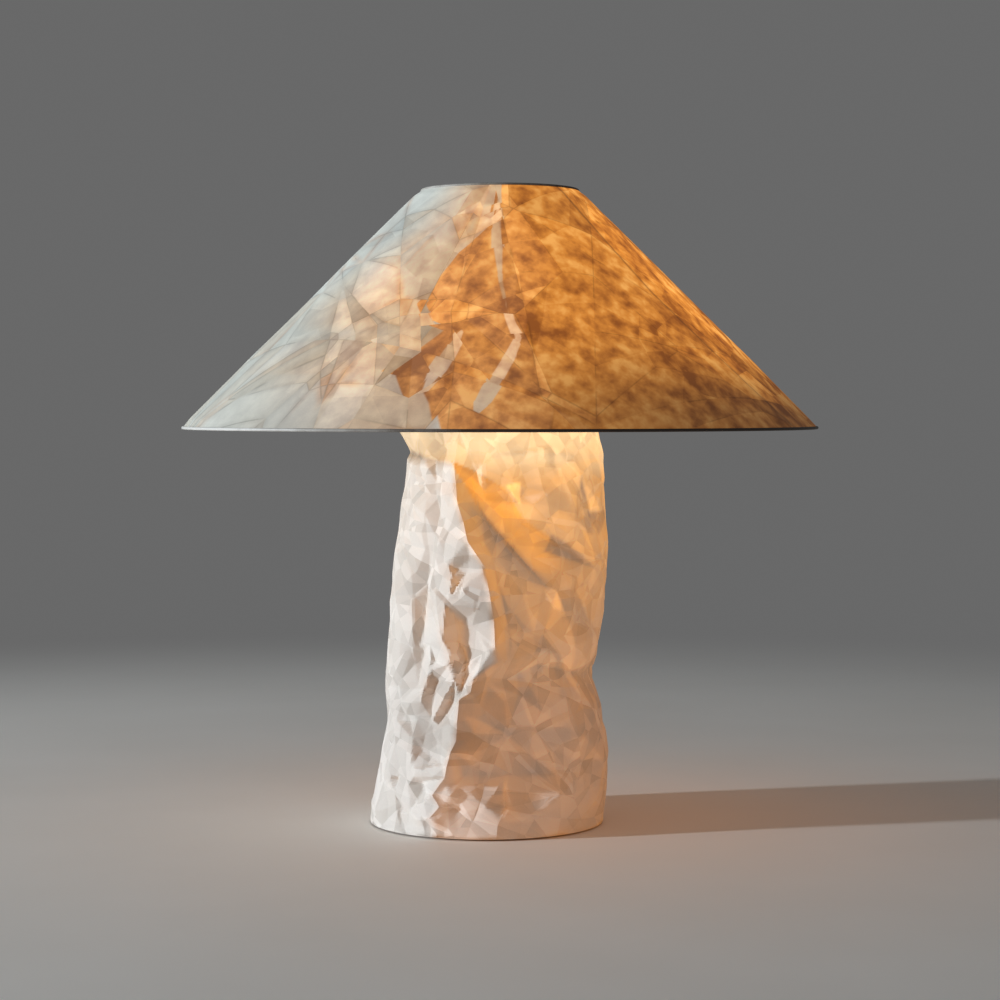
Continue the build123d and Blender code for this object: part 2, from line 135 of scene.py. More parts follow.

# Creases of the column, picked on three enlarged parts of the photo. A part has its left and top
# edge, in the photo's pixels, and its enlargement. A point has its place across and down the enlarged
# part, and how far the paper stands out there, in millimetres. The paper is flat between creases
PICTURE_WIDTH = 1000
UPPER_PART = (372, 444, 7.614)
LOWER_PART = (362, 640, 7.467)
FRONT_PART = (350, 420, 3.564)
# The foot stands this many pixels higher than in the photo. The shift fades out up to a higher row
FOOT_SHIFT = 5.0
FOOT_ROW, SHIFT_END_ROW = 845, 640
# How often a line of sight is tried, and how far before the stem a point past the column's edge lies
SIGHT_TRIES = 80
EDGE_DEPTH = 6.0
# Points of the lit side, by letter: r the ridge between the lit and the shaded side, t and u the top of
# the wall, c the first crest and v its valley, d the second crest, h the hollows behind it, l to s the
# lower left
UPPER_POINTS = {
    "r0": (625, 135, 9), "r1": (625, 260, 12), "r2": (645, 430, 15), "r3": (700, 620, 16),
    "r4": (730, 745, 15), "r5": (850, 925, 9), "r6": (890, 1110, 6), "r7": (905, 1200, 6),
    "r8": (930, 1370, 6), "r9": (937, 1560, 7),
    "t1": (310, 65, 0), "t2": (385, 120, 4), "t3": (480, 135, -3), "t4": (545, 133, 6), "t5": (490, 285, 3),
    "u1": (260, 495, 0), "u2": (410, 435, 5), "u3": (410, 545, 6), "u4": (505, 460, 3), "u5": (480, 340, 5),
    "u6": (560, 640, 9), "u7": (300, 690, 2), "u8": (470, 830, 4), "u9": (520, 760, 10),
    "u10": (440, 840, 1),
    "c1": (290, 885, 3), "c2": (303, 1020, 3), "c3": (306, 1190, 4), "c4": (308, 1380, 4),
    "c5": (295, 1560, 3),
    "v1": (420, 1065, -1), "v2": (415, 1190, -4), "v3": (398, 1340, -4), "v4": (345, 1540, -1),
    "d1": (575, 915, 7), "d2": (610, 1000, 6), "d3": (588, 1175, 6), "d4": (552, 1215, 8),
    "d5": (548, 1400, 8),
    "h1": (640, 960, 1), "h2": (720, 985, 1), "h3": (745, 880, 5), "h4": (735, 1045, 5),
    "h6": (655, 1170, 4), "h7": (840, 985, 8), "h8": (820, 1250, 4), "h9": (655, 1360, -4),
    "h10": (800, 1450, 0), "h22": (735, 1310, 0),
}
LOWER_POINTS = {
    "r10": (1015, 175, 7), "r11": (955, 95, 8), "r12": (815, 320, 9), "r13": (800, 410, 10),
    "r14": (712, 460, 12), "r15": (700, 640, 14), "r16": (695, 780, 13), "r17": (655, 870, 12),
    "r18": (615, 1055, 11), "r19": (515, 1190, 9), "r20": (580, 1280, 8), "r21": (500, 1365, 6),
    "d6": (600, 0, 8), "d7": (660, 100, 8), "d8": (680, 305, 7), "d9": (515, 620, 6),
    "h13": (765, 65, -3), "h14": (905, 95, 2), "h15": (825, 235, 2), "h16": (790, 300, 4),
    "h18": (640, 480, -2), "h19": (560, 655, 2), "h20": (635, 610, 4), "h21": (720, 450, 5),
    "l1": (440, 80, -3), "l2": (285, 325, 3), "l3": (420, 330, -3), "l4": (500, 25, 4), "l5": (630, 190, 7),
    "l6": (515, 150, 1), "l7": (488, 235, 5), "l8": (435, 475, 5), "l9": (548, 325, -3),
    "l10": (505, 600, 0),
    "n1": (295, 480, 4), "n2": (260, 605, 3), "n3": (368, 632, -2), "n4": (215, 435, 1),
    "n5": (405, 610, 2),
    "p1": (380, 740, 5), "p2": (465, 735, 1), "p3": (590, 670, 6), "p4": (650, 715, 10),
    "p5": (590, 790, 3), "p6": (450, 850, -1), "p7": (585, 945, 3), "p8": (365, 965, 5),
    "p9": (400, 990, 8), "p10": (600, 960, 9),
    "q1": (200, 1050, 4), "q2": (240, 1165, 4), "q3": (275, 1055, -2), "q4": (375, 1045, 4),
    "q5": (340, 1120, 4), "q8": (280, 1040, 4),
    "s1": (360, 1300, 3), "s2": (270, 1430, 2), "s3": (330, 1370, -3), "s4": (412, 1385, 6),
    "s6": (120, 850, 0),
}
# Points that a crest hides, and points around the lit side: turn in degrees, height and lift in
# millimetres
WALL_SET = {
    "h5": (247.5, 200, 0), "h11": (246, 156, -4), "h12": (250, 145, -5), "h17": (249, 125, -3),
    "q6": (232, 36, -1), "q7": (230, 43, -2), "s5": (234, 4, 0),
    "e0": (160, 318, 0), "e1": (160, 250, 0), "e2": (160, 180, 0), "e3": (160, 110, 0), "e4": (160, 50, 0),
    "e5": (160, -2, 0), "k1": (205, 318, 0), "k2": (246, 318, 0), "k3": (262, 318, 0),
    "m1": (252.5, 299, 0), "m2": (253, 286, 0), "m3": (256, 268, 0), "m4": (260, 249, 0),
    "m5": (262.5, 236, 0), "m6": (269, 217, 0), "m7": (271, 198, 0), "m8": (274, 171, 0),
    "m9": (276, 141, 0), "m10": (263, 122, 0), "m11": (258, 108, 0), "m12": (257, 79, 0),
    "m13": (253, 50, 0), "m14": (250, 27, 0), "m15": (250, -2, 0), "f1": (200, -2, 0), "f2": (238, -2, 0),
}
WALL_CREASES = (
    "r0 r1 r2 r3 r4 r5 r6 r7 r8 r9 r10", "r10 r11 r12 r13 r14 r15 r16 r17 r18 r19 r20 r21",
    "t1 t2 t3 t4 r0", "t2 t5 t3", "t5 t4", "t5 u5 r1", "u2 u3 u4 u2", "u2 u5", "u3 u6 r3", "u1 u2", "u1 u3",
    "u7 u3", "c1 u10 u8 u9 r4", "u9 u6", "d1 r4", "c1 c2 c3 c4 c5 l2", "c1 v1 v2 v3 v4", "v1 u8", "v1 d1",
    "v4 l1 l3", "c5 v4", "d1 d2 d3 d4 d5 d6 d7 l5 d8 d9", "d1 h1 h2 h3 r5", "d2 h5 d3", "h5 h2",
    "r5 h7 h4 h6 d3", "r5 h2 d3", "h3 r4", "d4 h9 h11 d6", "h6 h8 r8", "d4 h8", "h9 h10 r9", "h8 h10",
    "h11 h12 h17 d8", "h13 h14 h15 h13", "h11 h13", "h14 r11", "h15 h16 r12", "h16 h17", "h14 h10",
    "d8 h18 h19 h20 h21 r13", "h16 h21", "h20 r14", "d9 h19 r15", "l4 l6 l5", "l4 l5", "l7 l8",
    "l7 l9 l10 d9", "l6 l7", "l9 d8", "l1 l4 l7", "l3 l8", "l8 l10", "l2 n1", "l2 l3", "n1 n2 n3 n1",
    "n1 l8", "l8 n5 l10", "n4 n1", "n3 n5", "n4 l2", "p1 p2 p3 p4", "p1 p6 p2", "p6 p7 p5 p4 r16", "p5 p3",
    "p6 p8 p7", "p8 p9 p10 r17", "p7 p10", "p3 h19", "p3 r15", "q1 q3 q2 q1", "q8 p8", "q1 q8 q3",
    "q4 q7 q6 q5 q4", "q5 q7", "p9 q4 r18", "q6 r19", "s1 r19", "s1 r20", "s2 s3 s4 s5", "s4 r21", "s1 s4",
    "n2 s6 q1", "n3 p1", "h9 h22 h8", "h22 h10",
    "e0 e1 e2 e3 e4 e5 f1 f2 m15 m14 m13 m12 m11 m10 m9 m8 m7 m6 m5 m4 m3 m2 m1 k3 k2 k1 e0",
)
COLUMN_RIDGE = "r0 r1 r2 r3 r4 r5 r6 r7 r8 r9 r10 r12 r13 r14 r16 r17 r18 r19 r20 r21"
# Points of the shaded front, by letter from a at its top to w at its foot, its creases, the points
# around it and points between that stay in place, these in turn, height and lift
FRONT_POINTS = {
    "a1": (680, 100, 1), "a2": (660, 230, -1), "a3": (655, 300, 2), "a4": (640, 355, 0),
    "a5": (730, 310, 0), "a6": (800, 355, 2), "a7": (720, 408, -1), "a8": (820, 200, 2),
    "a9": (850, 330, -3), "a10": (892, 330, 1), "a11": (868, 410, 2), "a12": (760, 240, -1),
    "b1": (520, 560, 0), "b2": (600, 500, 2), "b3": (650, 545, 1), "b4": (690, 600, 2),
    "b5": (735, 605, 3), "b6": (725, 670, -2), "b7": (765, 685, 2), "b8": (685, 765, -2),
    "b9": (660, 830, 2), "b10": (565, 740, 2), "b11": (580, 800, -1), "b12": (600, 890, 1),
    "b13": (560, 660, -0.5), "b14": (655, 765, -1), "b15": (610, 600, -1), "b16": (800, 600, -2),
    "b17": (868, 545, 1), "b18": (888, 620, 0), "b19": (840, 700, -2), "b20": (884, 760, 1),
    "b21": (740, 830, -1), "b22": (800, 800, 2), "b23": (830, 500, -1),
    "g1": (410, 1060, 0), "g2": (465, 1080, 2), "g3": (550, 1010, -1), "g4": (600, 985, 2),
    "g5": (650, 965, -1), "g6": (750, 1000, 2), "g7": (830, 1000, -1), "g8": (884, 1040, 1),
    "g9": (440, 1130, -2), "g10": (465, 1190, 2), "g11": (540, 1185, -1), "g12": (560, 1130, 2),
    "g13": (650, 1110, -2), "g14": (690, 1050, 1), "g15": (640, 1200, -1), "g16": (720, 1180, 2),
    "g17": (760, 1100, -2), "g18": (830, 1130, 2), "g19": (890, 1080, 0), "g20": (800, 1220, -2),
    "g21": (896, 1220, 0),
    "w1": (550, 1280, 2), "w2": (545, 1370, -2), "w3": (480, 1400, 1), "w4": (440, 1250, -1),
    "w5": (400, 1290, 1), "w6": (640, 1280, 2), "w7": (680, 1340, 0), "w8": (575, 1390, 0),
    "w9": (740, 1280, -0.5), "w10": (720, 1420, 0), "w11": (860, 1300, 2), "w12": (800, 1340, 1),
    "w13": (880, 1370, -1), "w14": (800, 1440, 0), "w15": (540, 1450, -1), "w16": (600, 1420, 0),
    "w17": (660, 1450, -1),
}
FRONT_CREASES = (
    "b1 b2 b3 b4 b5", "b5 b6 b7 b8 b9", "b10 b11 b12", "b1 b13 b10 b14 b8", "b2 b15 b14",
    "b5 b16 b17 b18", "b7 b19 b20", "b9 b21 b22 b19", "g1 g2 g3 g4 g5 g6 g7 g8", "g2 g9 g10 g11 g12 g4",
    "g4 g13 g14 g6", "g11 w1 w2 w3", "g10 w4 w5", "g12 g15 w6 w7 w8 w2", "g13 g15 g16 g17 g14",
    "g16 w9 w7 w10", "g17 g18 g19", "g16 g20 g18", "g20 w11 g21", "w9 w12 w11 w13 w14", "w4 w1 w6",
    "w3 w15 w16 w8", "w16 w17 w10 w14", "a1 a2 a3 a4", "a3 a5 a6 a7", "a8 a9 a10 a8", "a9 a11 a10",
    "a6 a9", "a11 b23", "a3 a12 a8", "a12 a6",
)
FRONT_BORDER = (
    (250, -2, 0), (300, -2, 0), (357, -2, 0), (357, 60, 0), (357, 120, 0), (357, 180, 0), (357, 240, 0),
    (357, 312, 0), (300, 312, 0), (252, 299, 0),
)
FRONT_FIXED = ((256, 268, 0), (261, 240, 0), (275, 141, 0), (263, 122, 0), (249, 70, 0), (248, 30, 0))
# Long folds. Each has points of turn, height and how far it stands out, and then how wide it falls away
# to its two sides: where it runs downwards, these are its left and its right as seen from outside
COLUMN_FOLDS = (
    (((257, 64, 0), (250, 42, 3), (244, 24, 2)), 6, 9),
    (((244, 290, 0), (254, 270, -1), (265, 250, -2), (282, 222, -2), (301, 194, 0)), 3, 30),
    (((256, 292, 0), (273, 278, -1), (284, 252, -2), (299, 239, -2), (335, 208, 0)), 3, 30),
    (((362, 127, -5), (336, 124, -6), (294, 136, -5), (278, 129, -4), (267, 120, 0)), 12, 22),
    (((267, 120, 0), (273, 108, 3), (285, 116, 3), (305, 106, 0)), 12, 14),
    (((318, 285, 0), (329, 243, -4), (336, 208, 0)), 12, 5),
    (((150, 308, 0), (185, 304, -3), (223, 299, -3), (243, 297, -1)), 6, 26),
    (((100, 320, 0), (85, 240, 6), (110, 150, 6), (95, 40, 0)), 30, 12),
    (((60, 300, 0), (40, 200, -6), (65, 120, 0)), 10, 24),
    (((140, 260, 0), (150, 160, -6), (135, 70, 0)), 9, 28),
    (((20, 150, 0), (35, 90, 5), (15, 30, 0)), 22, 10),
)
# The flat front: which way it faces, the least cosine of a turn away from there that it takes in, and
# how far it stands from the stem at a few heights, in millimetres
FLAT_TURN = radians(285)
FLAT_FACING = 0.5
FLAT_HEIGHTS = (15, 50, 90, 230, 300)
FLAT_REACH = (95, 79, 76, 75, 73)
# Painted shade and light beside folds: how much darker or lighter the glow is there, as lines like the
# long folds
FOLD_SHADE_AND_LIGHT = (
    (((246, 296, 0.1), (255, 272, -0.2), (263, 252, -0.42), (287, 216, -0.46), (302, 195, -0.1)), 22, 0.6),
    (((246, 296, 0), (263, 252, -0.10), (287, 216, -0.12), (302, 195, 0)), 60, 0.6),
    (((256, 292, 0.05), (273, 277, 0.22), (284, 254, 0.18), (300, 240, 0.12), (327, 211, 0)), 0.6, 26),
    (((299, 241, -0.12), (313, 226, -0.12), (327, 211, -0.04)), 13, 0.5),
    (((317, 287, 0), (323, 268, -0.12), (329, 250, -0.12), (336, 234, 0)), 0.6, 14),
    (((258, 118, 0), (274, 126, 0.05), (295, 137, 0.30), (321, 129, 0.34), (334, 132, 0)), 0.6, 9),
    (((258, 118, 0), (274, 126, -0.20), (295, 137, -0.26), (321, 129, -0.16), (334, 132, 0)), 22, 0.6),
    (((262, 96, 0), (270, 88, -0.24), (284, 84, -0.20), (296, 92, 0)), 14, 0.6),
    (((300, 110, 0), (312, 86, -0.20), (308, 60, 0)), 12, 0.6),
    (((276, 62, 0), (286, 50, -0.20), (302, 46, 0)), 0.6, 12),
)
# Facets of the front painted lighter or darker than the paper around them, as painted shade and one
# painted highlight: their corners, picked on the same enlarged part as the creases of the front, and how
# much they add to or take from the glow. Their edges are this soft, in millimetres
FRONT_FACET_SHADE_AND_LIGHT = (
    (((467, 321), (734, 606), (656, 584), (527, 527), (479, 435)), -0.26),
    (((555, 232), (609, 222), (607, 305)), 1.0),
    (((727, 405), (691, 470), (871, 536)), -0.50),
    (((852, 319), (902, 326), (873, 411)), -0.38),
    (((816, 198), (854, 310), (820, 249)), -0.34),
    (((388, 153), (519, 215), (479, 251)), -0.36),
)
FACET_EDGE = 1.5
# The lines that bound the warmest patch from below and from above, how far it fades from one towards
# the other, and how strong it is
EMBER_BELOW = ((243, 300, 1), (262, 252, 1), (287, 216, 0.8), (302, 195, 0.2))
EMBER_ABOVE = ((245, 298, 1), (273, 277, 1), (284, 254, 1), (300, 240, 0.8), (327, 211, 0.2))
EMBER_EDGE, EMBER_REACH, EMBER_GAIN = 0.6, 42, 1.3

# Shade paper: its grid, with fewer rows inside, its seam, and the angle left open there
SHADE_STEPS = 680
SHADE_ROWS = 124
SHADE_INNER_EVERY = 4
SHADE_SEAM = radians(112)
SEAM_GAP = 0.0004
# It is crumpled while it is flat, at this scale and about this height, then rolled into the cone. Its
# relief has the share of the broad, middle and small facets, begins at a percentile of them, and fades
# out towards the rims
SHADE_SCALE = 0.55
SHADE_LEVEL = 0.27
SHADE_RELIEF = (0.012, 0.030, 0.020)
SHADE_RELIEF_BASE = 4
SHADE_RELIEF_MOST = 2.4
RIM_ROOM = 0.2 * MM
RIM_FADE = 0.03
# Heights between its two rims, in metres
BETWEEN_RIMS = (0.40, 0.45)
# Its foot is dimmer, up to this share of the way up, and most of all about this turn
DIM_SHARE = 0.45
DIM_TURN = 345
DIM_LEAST, DIM_MORE = 0.55, 0.5
DIM_SPREAD = (0.2, 0.95)

# Where the pale sheet ends on the shade: share of the way up, and turn
PALE_EDGE = (
    (0.0, 259), (0.1, 257), (0.206, 253), (0.22, 249), (0.38, 258.8), (0.42, 252), (0.49, 248),
    (0.70, 256.5), (0.81, 267), (1.0, 269.5),
)
# The degrees from its edge that count as one, and the most that is told apart without and within
PALE_SPREAD = 12.0
PALE_MOST = (-1, 6)
# Narrow pale strips: share of the way up, turn, and half the strip's width in millimetres
PALE_STRIPS = (
    (
        (0.04, 265.5, -2), (0.10, 267, 5), (0.16, 268.5, 6), (0.25, 271.2, 5), (0.35, 274.2, 3.5),
        (0.41, 272.6, 2), (0.58, 270.2, 2.4), (0.72, 269.3, 4.6), (0.84, 268.8, 4), (0.95, 269.2, 1.5),
    ),
    (
        (0.09, 254.5, -4), (0.14, 256, 2.5), (0.22, 257.6, 7), (0.30, 259.3, 6), (0.375, 261, 3),
        (0.41, 261.6, -4),
    ),
)
STRIP_LEAST = -20
# The edge of the amber sheet that overlaps on the right: share of the way up, and turn. Then the turn
# of its other edge, and the most millimetres that are told apart without and within
LAP_EDGE = ((0.0, 332), (0.34, 325.6), (0.55, 321), (1.0, 316))
LAP_END = 425.0
LAP_MOST = (-20, 400)

# Felt pad: the steps around it and over its edge, how far the edge bulges as a share of its depth, the
# radius of the face in its middle, how much the cut edge waves, and the least angle of an edge
FELT_STEPS = 192
FELT_EDGE_STEPS = 9
FELT_BULGE = 0.45
FELT_MIDDLE = 0.002
FELT_WAVE = 0.002
FELT_EDGE_ANGLE = radians(50)


def scatter(first, second, key):
    """A repeatable scatter from 0 to 1: the fraction of a large sine of the given numbers."""
    return np.modf(np.abs(np.sin(first * 127.1 + second * 311.7 + key * 74.7) * 43758.5453))[0]


def smooth(low, high, value):
    """Goes from 0 at low to 1 at high, level at both ends."""
    share = np.clip((value - low) / (high - low), 0, 1)
    return share * share * (3 - 2 * share)


def sleeve(radius, turn, height):
    """Points of an upright sleeve about the stem."""
    return np.stack(np.broadcast_arrays(radius * np.cos(turn), radius * np.sin(turn), height), axis=-1)


def folded_over(place, normal, offset):
    """Mirrors the points that lie beyond a plane back across it, as paper is folded over a line."""
    beyond = np.maximum(place @ normal - offset, 0)
    return place - 2 * beyond[..., None] * normal


def choose_planes():
    """Planes at scattered tilts. Each passes near the middle of a sleeve that the planes before it have
    folded, so the paper ends up as a small wad. Gives the planes, and where the middle of the folded
    paper lies along the reading direction after each of them."""
    turn = np.linspace(0, 2 * pi, 200)[None, :]
    place = sleeve(COLUMN_RADIUS * MM, turn, np.linspace(0, COLUMN_HEIGHTS[-1] * MM, 120)[:, None])
    planes, middles = [], []
    for number in range(FOLD_COUNT):
        tall = 2 * scatter(number, 0, FOLD_KEY) - 1
        around = 2 * pi * scatter(number, 1, FOLD_KEY)
        wide = np.sqrt(1 - tall * tall)
        normal = np.array([wide * np.cos(around), wide * np.sin(around), tall])
        along = place @ normal
        share = FOLD_LEAST + FOLD_SPAN * scatter(number, 2, FOLD_KEY)
        offset = along.min() + (along.max() - along.min()) * share
        place = folded_over(place, normal, offset)
        planes.append((normal, offset))
        middles.append(float((place @ FOLD_READING).mean()))
    return planes, middles


FOLD_PLANES, FOLD_MIDDLES = choose_planes()


def crumple(place):
    """Folds the points over every plane in turn. Where the folded paper lies along the reading
    direction rises and falls in straight slopes between straight creases, which is how far the opened
    sheet stands out. Gives that for the broad, the middle and the small facets, each about its
    middle."""
    heights = []
    for number, (normal, offset) in enumerate(FOLD_PLANES, 1):
        place = folded_over(place, normal, offset)
        if number in (BROAD_FOLDS, MIDDLE_FOLDS, SMALL_FOLDS):
            heights.append(place @ FOLD_READING - FOLD_MIDDLES[number - 1])
    return heights


def crease_tent(across, up, line, fall_left, fall_right):
    """A tent over a line of points: on the line it has the lift that runs from point to point, and from
    there it goes straight down to nothing at each side's width."""
    nearest = np.full(across.shape, 1e9)
    side = np.zeros(across.shape)
    lift = np.zeros(across.shape)
    for (start_across, start_up, start_lift), (end_across, end_up, end_lift) in zip(line, line[1:]):
        run, rise = end_across - start_across, end_up - start_up
        share = ((across - start_across) * run + (up - start_up) * rise) / (run * run + rise * rise)
        share = np.clip(share, 0, 1)
        off_across = across - start_across - share * run
        off_up = up - start_up - share * rise
        distance = np.hypot(off_across, off_up)
        closer = distance < nearest
        side = np.where(closer, run * off_up - rise * off_across, side)
        lift = np.where(closer, start_lift + (end_lift - start_lift) * share, lift)
        nearest = np.where(closer, distance, nearest)
    width = np.where(side > 0, fall_right, fall_left)
    return lift * np.maximum(0, 1 - nearest / width)


def along_lines(across, up, lines):
    """The sum of tents over lines of (turn, height, lift) points, each line with its two widths, around
    the sleeve."""
    girth = 2 * pi * COLUMN_RADIUS
    total = np.zeros(across.shape)
    for line, fall_left, fall_right in lines:
        path = [(radians(at) * COLUMN_RADIUS, level, lift) for at, level, lift in line]
        for lap in (-girth, 0, girth):
            total += crease_tent(across + lap, up, path, fall_left, fall_right)
    return total


def softened(grid):
    """A grid of values around the column, each averaged with the four beside it, a few times over."""
    for _ in range(SOFTENINGS):
        up_down = np.vstack([grid[:1], grid[:-1]]) + np.vstack([grid[1:], grid[-1:]])
        grid = (grid + up_down + np.roll(grid, 1, axis=1) + np.roll(grid, -1, axis=1)) / 5
    return grid


def plain_reach(turn, height):
    """How far the column without its creases reaches from the stem: at each height a circle spans the
    reaches to the left and to the right."""
    left = np.interp(height, COLUMN_HEIGHTS, COLUMN_LEFT)
    right = np.interp(height, COLUMN_HEIGHTS, COLUMN_RIGHT)
    centre, radius = (right - left) / 2, (right + left) / 2
    return centre * np.cos(turn) + np.sqrt(radius**2 - (centre * np.sin(turn)) ** 2)


def front_reach(turn, height):
    """How far from the stem an upright plane presses the front flat: its distance at each height over
    the cosine of the turn away from where it faces, and no limit to the sides of it."""
    facing = np.cos(turn - FLAT_TURN)
    distance = np.interp(height, FLAT_HEIGHTS, FLAT_REACH)
    return np.where(facing > FLAT_FACING, distance / np.maximum(facing, FLAT_FACING), np.inf)


def pressed_reach(turn, height):
    """How far the column reaches with its front pressed flat: the lesser of the two reaches."""
    return np.minimum(plain_reach(turn, height), front_reach(turn, height))


def on_column(part, points, reach_at):
    """Where points picked on an enlarged part of the photo lie on the column, as turn, height and lift.
    The line of sight from the camera through a point is followed to the paper. How far the paper
    reaches depends on where the line meets it, so the meeting place is worked out anew until it
    settles. Past the edge of the column as the camera sees it, a point stays a little in front of the
    stem."""
    left, top, enlargement = part
    across, down, lift = np.array(points, float).T
    column, row = left + across / enlargement, top + down / enlargement
    row = row - FOOT_SHIFT * np.maximum(0, row - SHIFT_END_ROW) / (FOOT_ROW - SHIFT_END_ROW)
    focal = CAMERA_LENS / SENSOR_WIDTH * PICTURE_WIDTH
    aside, above = (column - PICTURE_WIDTH / 2) / focal, (PICTURE_WIDTH / 2 - row) / focal
    ahead = cos(CAMERA_PITCH) + above * sin(CAMERA_PITCH)
    climb = above * cos(CAMERA_PITCH) - sin(CAMERA_PITCH)
    depth = np.full(len(points), -COLUMN_RADIUS)
    for _ in range(SIGHT_TRIES):
        far = (CAMERA_DISTANCE / MM + depth) / ahead
        x, height = aside * far, CAMERA_HEIGHT / MM + climb * far
        turn = np.arctan2(depth, x) % (2 * pi)
        reach = reach_at(turn, height) + lift
        depth = (depth - np.sqrt(np.maximum(reach**2 - x**2, EDGE_DEPTH**2))) / 2
    return list(zip(np.degrees(turn), height, lift))


def named_spots(part, points, reach_at):
    """Where the named points of an enlarged part of the photo lie on the column."""
    return dict(zip(points, on_column(part, list(points.values()), reach_at)))


def chained(creases, spots):
    """Creases as lists of points, from creases as strings of names."""
    return [[spots[name] for name in crease.split()] for crease in creases]


def column_creases():
    """The ridge, the creases of the lit side and those of the shaded front, each a list of points on
    the column."""
    wall_spots = named_spots(UPPER_PART, UPPER_POINTS, plain_reach)
    wall_spots.update(named_spots(LOWER_PART, LOWER_POINTS, plain_reach))
    wall_spots.update(WALL_SET)
    front_spots = named_spots(FRONT_PART, FRONT_POINTS, pressed_reach)
    ridge = chained([COLUMN_RIDGE], wall_spots)[0]
    wall = chained(WALL_CREASES, wall_spots)
    front = chained(FRONT_CREASES, front_spots)
    return ridge, wall, [*front, FRONT_BORDER, *([point] for point in FRONT_FIXED)]


def facet_shade_and_light(across, up):
    """The painted shade and light of the front's facets: a facet's share at a place grows from none to all
    of it with the least of the distances that the place lies inward of the facet's edges."""
    total = np.zeros(across.shape)
    for corners, tone in FRONT_FACET_SHADE_AND_LIGHT:
        spots = on_column(FRONT_PART, [(*corner, 0) for corner in corners], pressed_reach)
        path = [(radians(turn) * COLUMN_RADIUS, level) for turn, level, _ in spots]
        edges = list(zip(path, path[1:] + path[:1]))
        area = sum(ax * by - bx * ay for (ax, ay), (bx, by) in edges)
        inward = [
            ((bx - ax) * (up - ay) - (by - ay) * (across - ax)) / hypot(bx - ax, by - ay) * np.sign(area)
            for (ax, ay), (bx, by) in edges
        ]
        total += tone * np.clip(0.5 + np.min(inward, axis=0) / FACET_EDGE, 0, 1)
    return total


def flat_between(across, up, creases):
    """How far paper stands out that is flat between creases: a net of triangles over the points of the
    creases, in which each triangle slopes straight between the lifts of its three corners."""
    points = list(dict.fromkeys(point for crease in creases for point in crease))
    edges = [(points.index(a), points.index(b)) for crease in creases for a, b in zip(crease, crease[1:])]
    flat = [Vector((radians(turn) * COLUMN_RADIUS, level)) for turn, level, _ in points]
    places, _, triangles, origin, _, _ = delaunay_2d_cdt(flat, edges, [], 0, 1e-5)
    total = np.zeros(across.shape)
    for triangle in triangles:
        (ax, ay), (bx, by), (cx, cy) = (places[corner] for corner in triangle)
        a_lift, b_lift, c_lift = (points[origin[corner][0]][2] for corner in triangle)
        whole = (bx - ax) * (cy - ay) - (cx - ax) * (by - ay)
        b_share = ((across - ax) * (cy - ay) - (cx - ax) * (up - ay)) / whole
        c_share = ((bx - ax) * (up - ay) - (across - ax) * (by - ay)) / whole
        inside = (b_share >= 0) & (c_share >= 0) & (b_share + c_share <= 1)
        lift = a_lift + (b_lift - a_lift) * b_share + (c_lift - a_lift) * c_share
        total = np.where(inside, lift, total)
    return total


def quads(index):
    """The four-sided faces of a grid of point numbers that closes around."""
    ahead = np.roll(index, -1, axis=1)
    return np.stack([index[:-1], ahead[:-1], ahead[1:], index[1:]], axis=-1).reshape(-1, 4)


def placed(name, data):
    """An object of the scene for a mesh, a light or a camera."""
    thing = bpy.data.objects.new(name, data)
    bpy.context.scene.collection.objects.link(thing)
    return thing


def smooth_mesh(name, points, faces, edge_angle):
    """A mesh that is smooth apart from edges sharper than an angle."""
    mesh = bpy.data.meshes.new(name)
    mesh.from_pydata(points.tolist(), [], faces)
    mesh.polygons.foreach_set("use_smooth", np.ones(len(faces), bool))
    mesh.set_sharp_from_angle(angle=edge_angle)
    return mesh


def closed_sheet(name, outer, inner, attributes):
    """A closed sleeve of paper from two grids of [row, step, xyz], joined along their first and last
    rows. The inner grid has half as many steps and an even part of the rows. Attributes are grids on
    the outer face, and the inner face takes its share of them."""
    rows, steps = outer.shape[:2]
    inner_rows, inner_steps = inner.shape[:2]
    every = (rows - 1) // (inner_rows - 1)
    points = np.concatenate([outer.reshape(-1, 3), inner.reshape(-1, 3)])
    outer_index = np.arange(rows * steps).reshape(rows, steps)
    inner_index = rows * steps + np.arange(inner_rows * inner_steps).reshape(inner_rows, inner_steps)

    def lip(outer_row, inner_row):
        ahead = np.roll(inner_row, -1)
        last = np.roll(outer_row, -2)[::2]
        return np.stack([outer_row[::2], outer_row[1::2], last, ahead, inner_row], axis=-1)

    faces = quads(outer_index).tolist() + quads(inner_index)[:, ::-1].tolist()
    faces += lip(outer_index[-1], inner_index[-1]).tolist()
    faces += lip(outer_index[0], inner_index[0])[:, ::-1].tolist()
    mesh = smooth_mesh(name, points, faces, CREASE_ANGLE)
    for label, values in attributes.items():
        inside = values[::every, ::2].reshape(inner_rows * inner_steps, -1)
        both = np.concatenate([values.reshape(rows * steps, -1), inside]).astype(np.float32).ravel()
        flat = values.ndim == 2
        held = mesh.attributes.new(label, "FLOAT" if flat else "FLOAT_VECTOR", "POINT")
        held.data.foreach_set("value" if flat else "vector", both)
    mesh.update()
    return placed(name, mesh)


